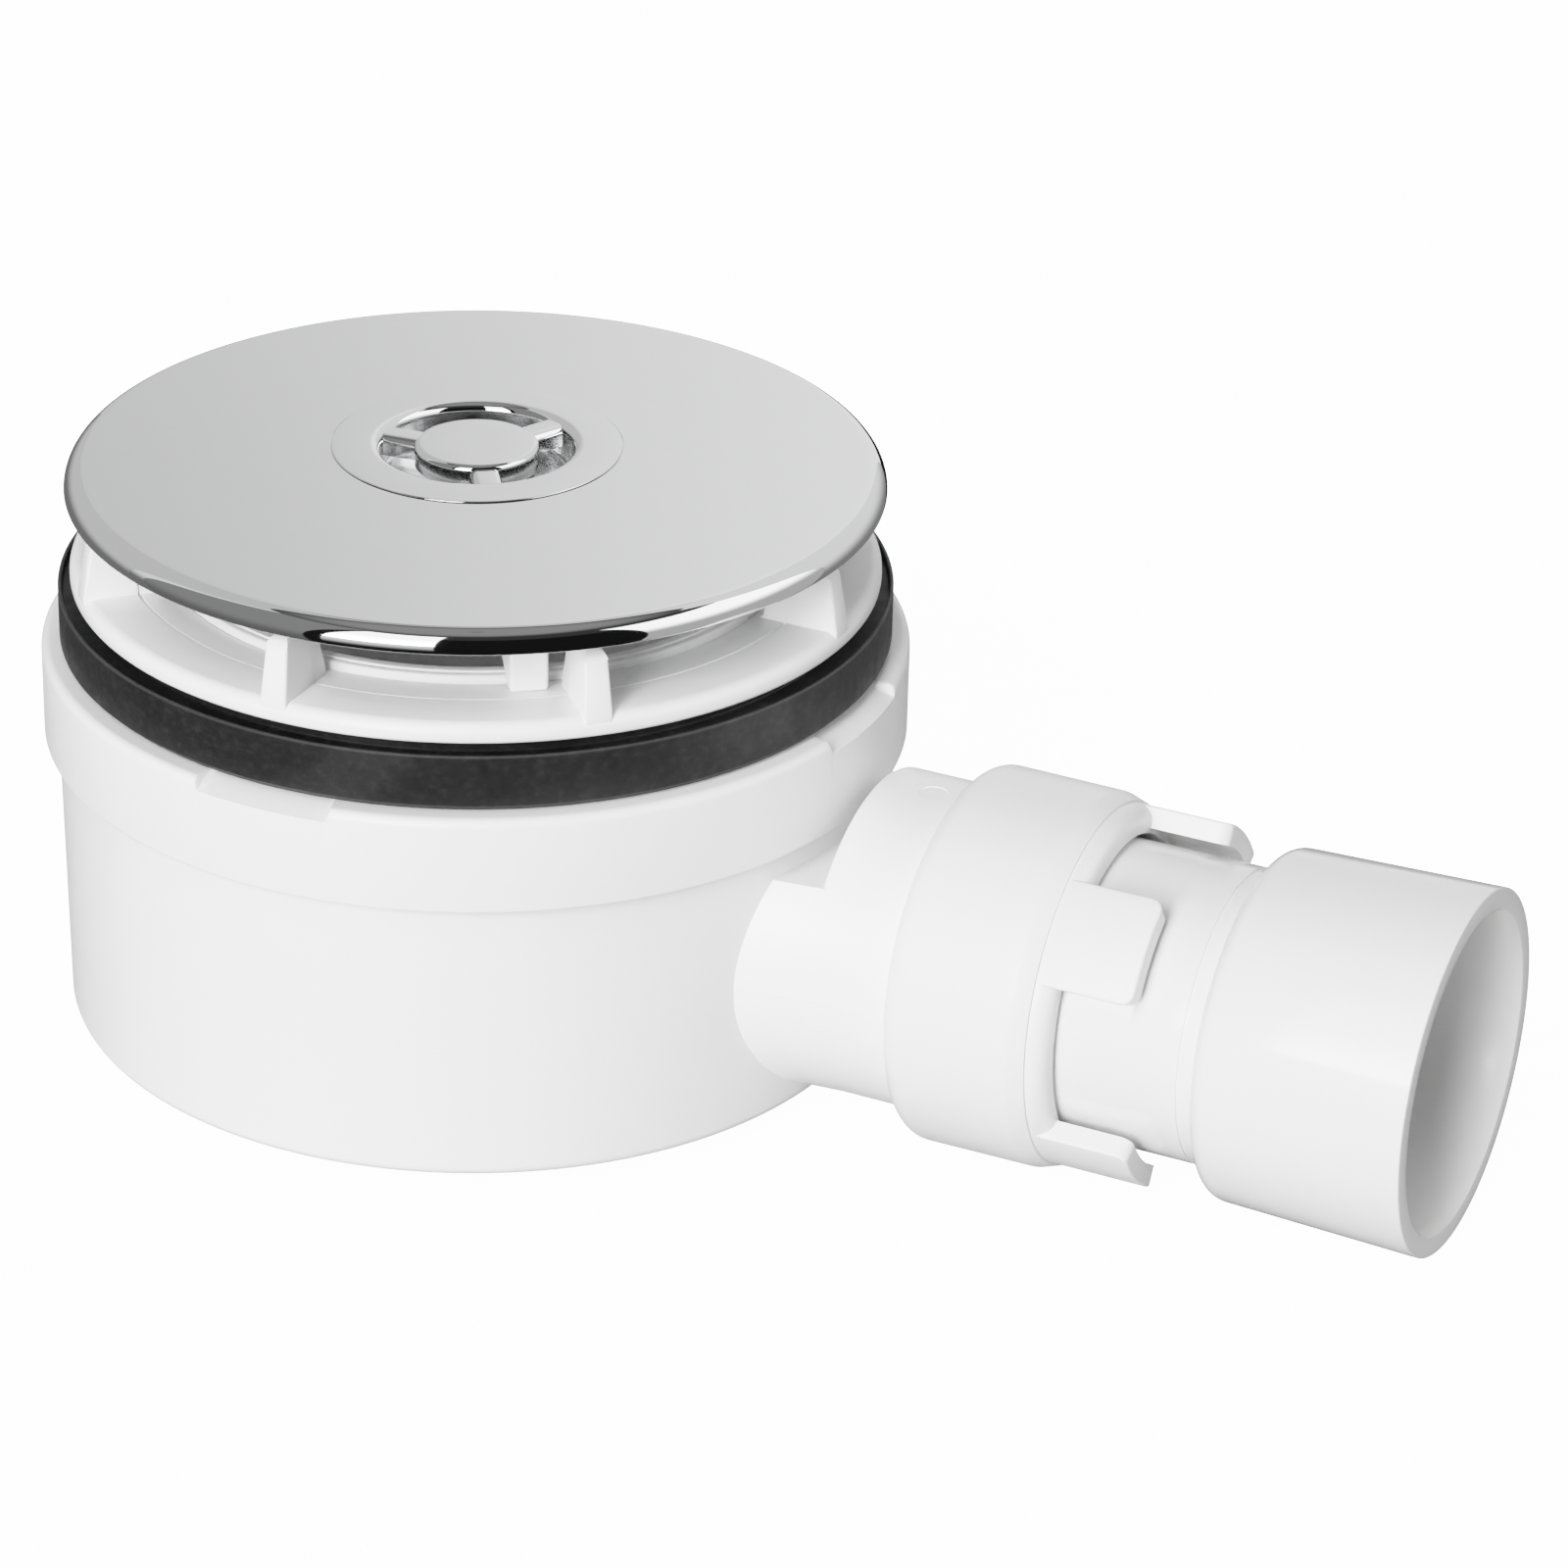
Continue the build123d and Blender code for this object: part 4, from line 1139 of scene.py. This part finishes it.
def pale_floor(name):
    """Matt pale floor that is lifted to white where the camera sees it."""
    material = bpy.data.materials.new(name)
    material.use_nodes = True
    tree = material.node_tree
    shader = tree.nodes["Principled BSDF"]
    shader.inputs["Base Color"].default_value = (FLOOR_TONE, FLOOR_TONE, FLOOR_TONE, 1.0)
    shader.inputs["Roughness"].default_value = FLOOR_ROUGHNESS
    shader.inputs["Emission Color"].default_value = (1.0, 1.0, 1.0, 1.0)
    seen = tree.nodes.new("ShaderNodeLightPath")
    lift = tree.nodes.new("ShaderNodeMath")
    lift.operation = "MULTIPLY"
    lift.inputs[1].default_value = FLOOR_LIFT
    tree.links.new(seen.outputs["Is Camera Ray"], lift.inputs[0])
    tree.links.new(lift.outputs[0], shader.inputs["Emission Strength"])
    return material


make_floor()

world = bpy.data.worlds.new("studio")
bpy.context.scene.world = world
world.use_nodes = True
tree = world.node_tree
tree.nodes.clear()
path = tree.nodes.new("ShaderNodeLightPath")
sky = None
for ray, strength in SKY_STRENGTHS:
    layer = tree.nodes.new("ShaderNodeBackground")
    layer.inputs["Color"].default_value = (1.0, 1.0, 1.0, 1.0)
    layer.inputs["Strength"].default_value = strength
    if ray is None:
        sky = layer.outputs["Background"]
        continue
    mix = tree.nodes.new("ShaderNodeMixShader")
    tree.links.new(path.outputs[ray], mix.inputs[0])
    tree.links.new(sky, mix.inputs[1])
    tree.links.new(layer.outputs["Background"], mix.inputs[2])
    sky = mix.outputs["Shader"]
world_output = tree.nodes.new("ShaderNodeOutputWorld")
tree.links.new(sky, world_output.inputs["Surface"])

CAMERA_PLACE = (340.52, -624.97, 389.55)
CAMERA_RIGHT = (0.90053, 0.43422, 0.0223)
CAMERA_UP = (-0.2135, 0.39693, 0.89267)
CAMERA_BACK = (0.37877, -0.80864, 0.45015)
CAMERA_SENSOR, CAMERA_LENS = 36.0, 129.29
camera_data = bpy.data.cameras.new("camera")
camera_data.sensor_width = CAMERA_SENSOR
camera_data.lens = CAMERA_LENS
camera = bpy.data.objects.new("camera", camera_data)
bpy.context.scene.collection.objects.link(camera)
axes = Matrix((CAMERA_RIGHT, CAMERA_UP, CAMERA_BACK)).transposed().to_4x4()
camera.matrix_world = Matrix.Translation(Vector(CAMERA_PLACE) * MM) @ axes
bpy.context.scene.camera = camera

# Tones roll off towards white as on film
WHITE_LEVEL, ROLL_OFF = 3.0, 2.05
TONE_STEPS = (0.05, 0.1, 0.25, 0.5, 0.75, 1.0, 1.5, 2.0)
view = bpy.context.scene.view_settings
view.view_transform = "Standard"
view.use_curve_mapping = True
view.curve_mapping.white_level = (WHITE_LEVEL, WHITE_LEVEL, WHITE_LEVEL)
for tone in TONE_STEPS:
    view.curve_mapping.curves[3].points.new(tone / WHITE_LEVEL, 1 - exp(-ROLL_OFF * tone))
view.curve_mapping.update()
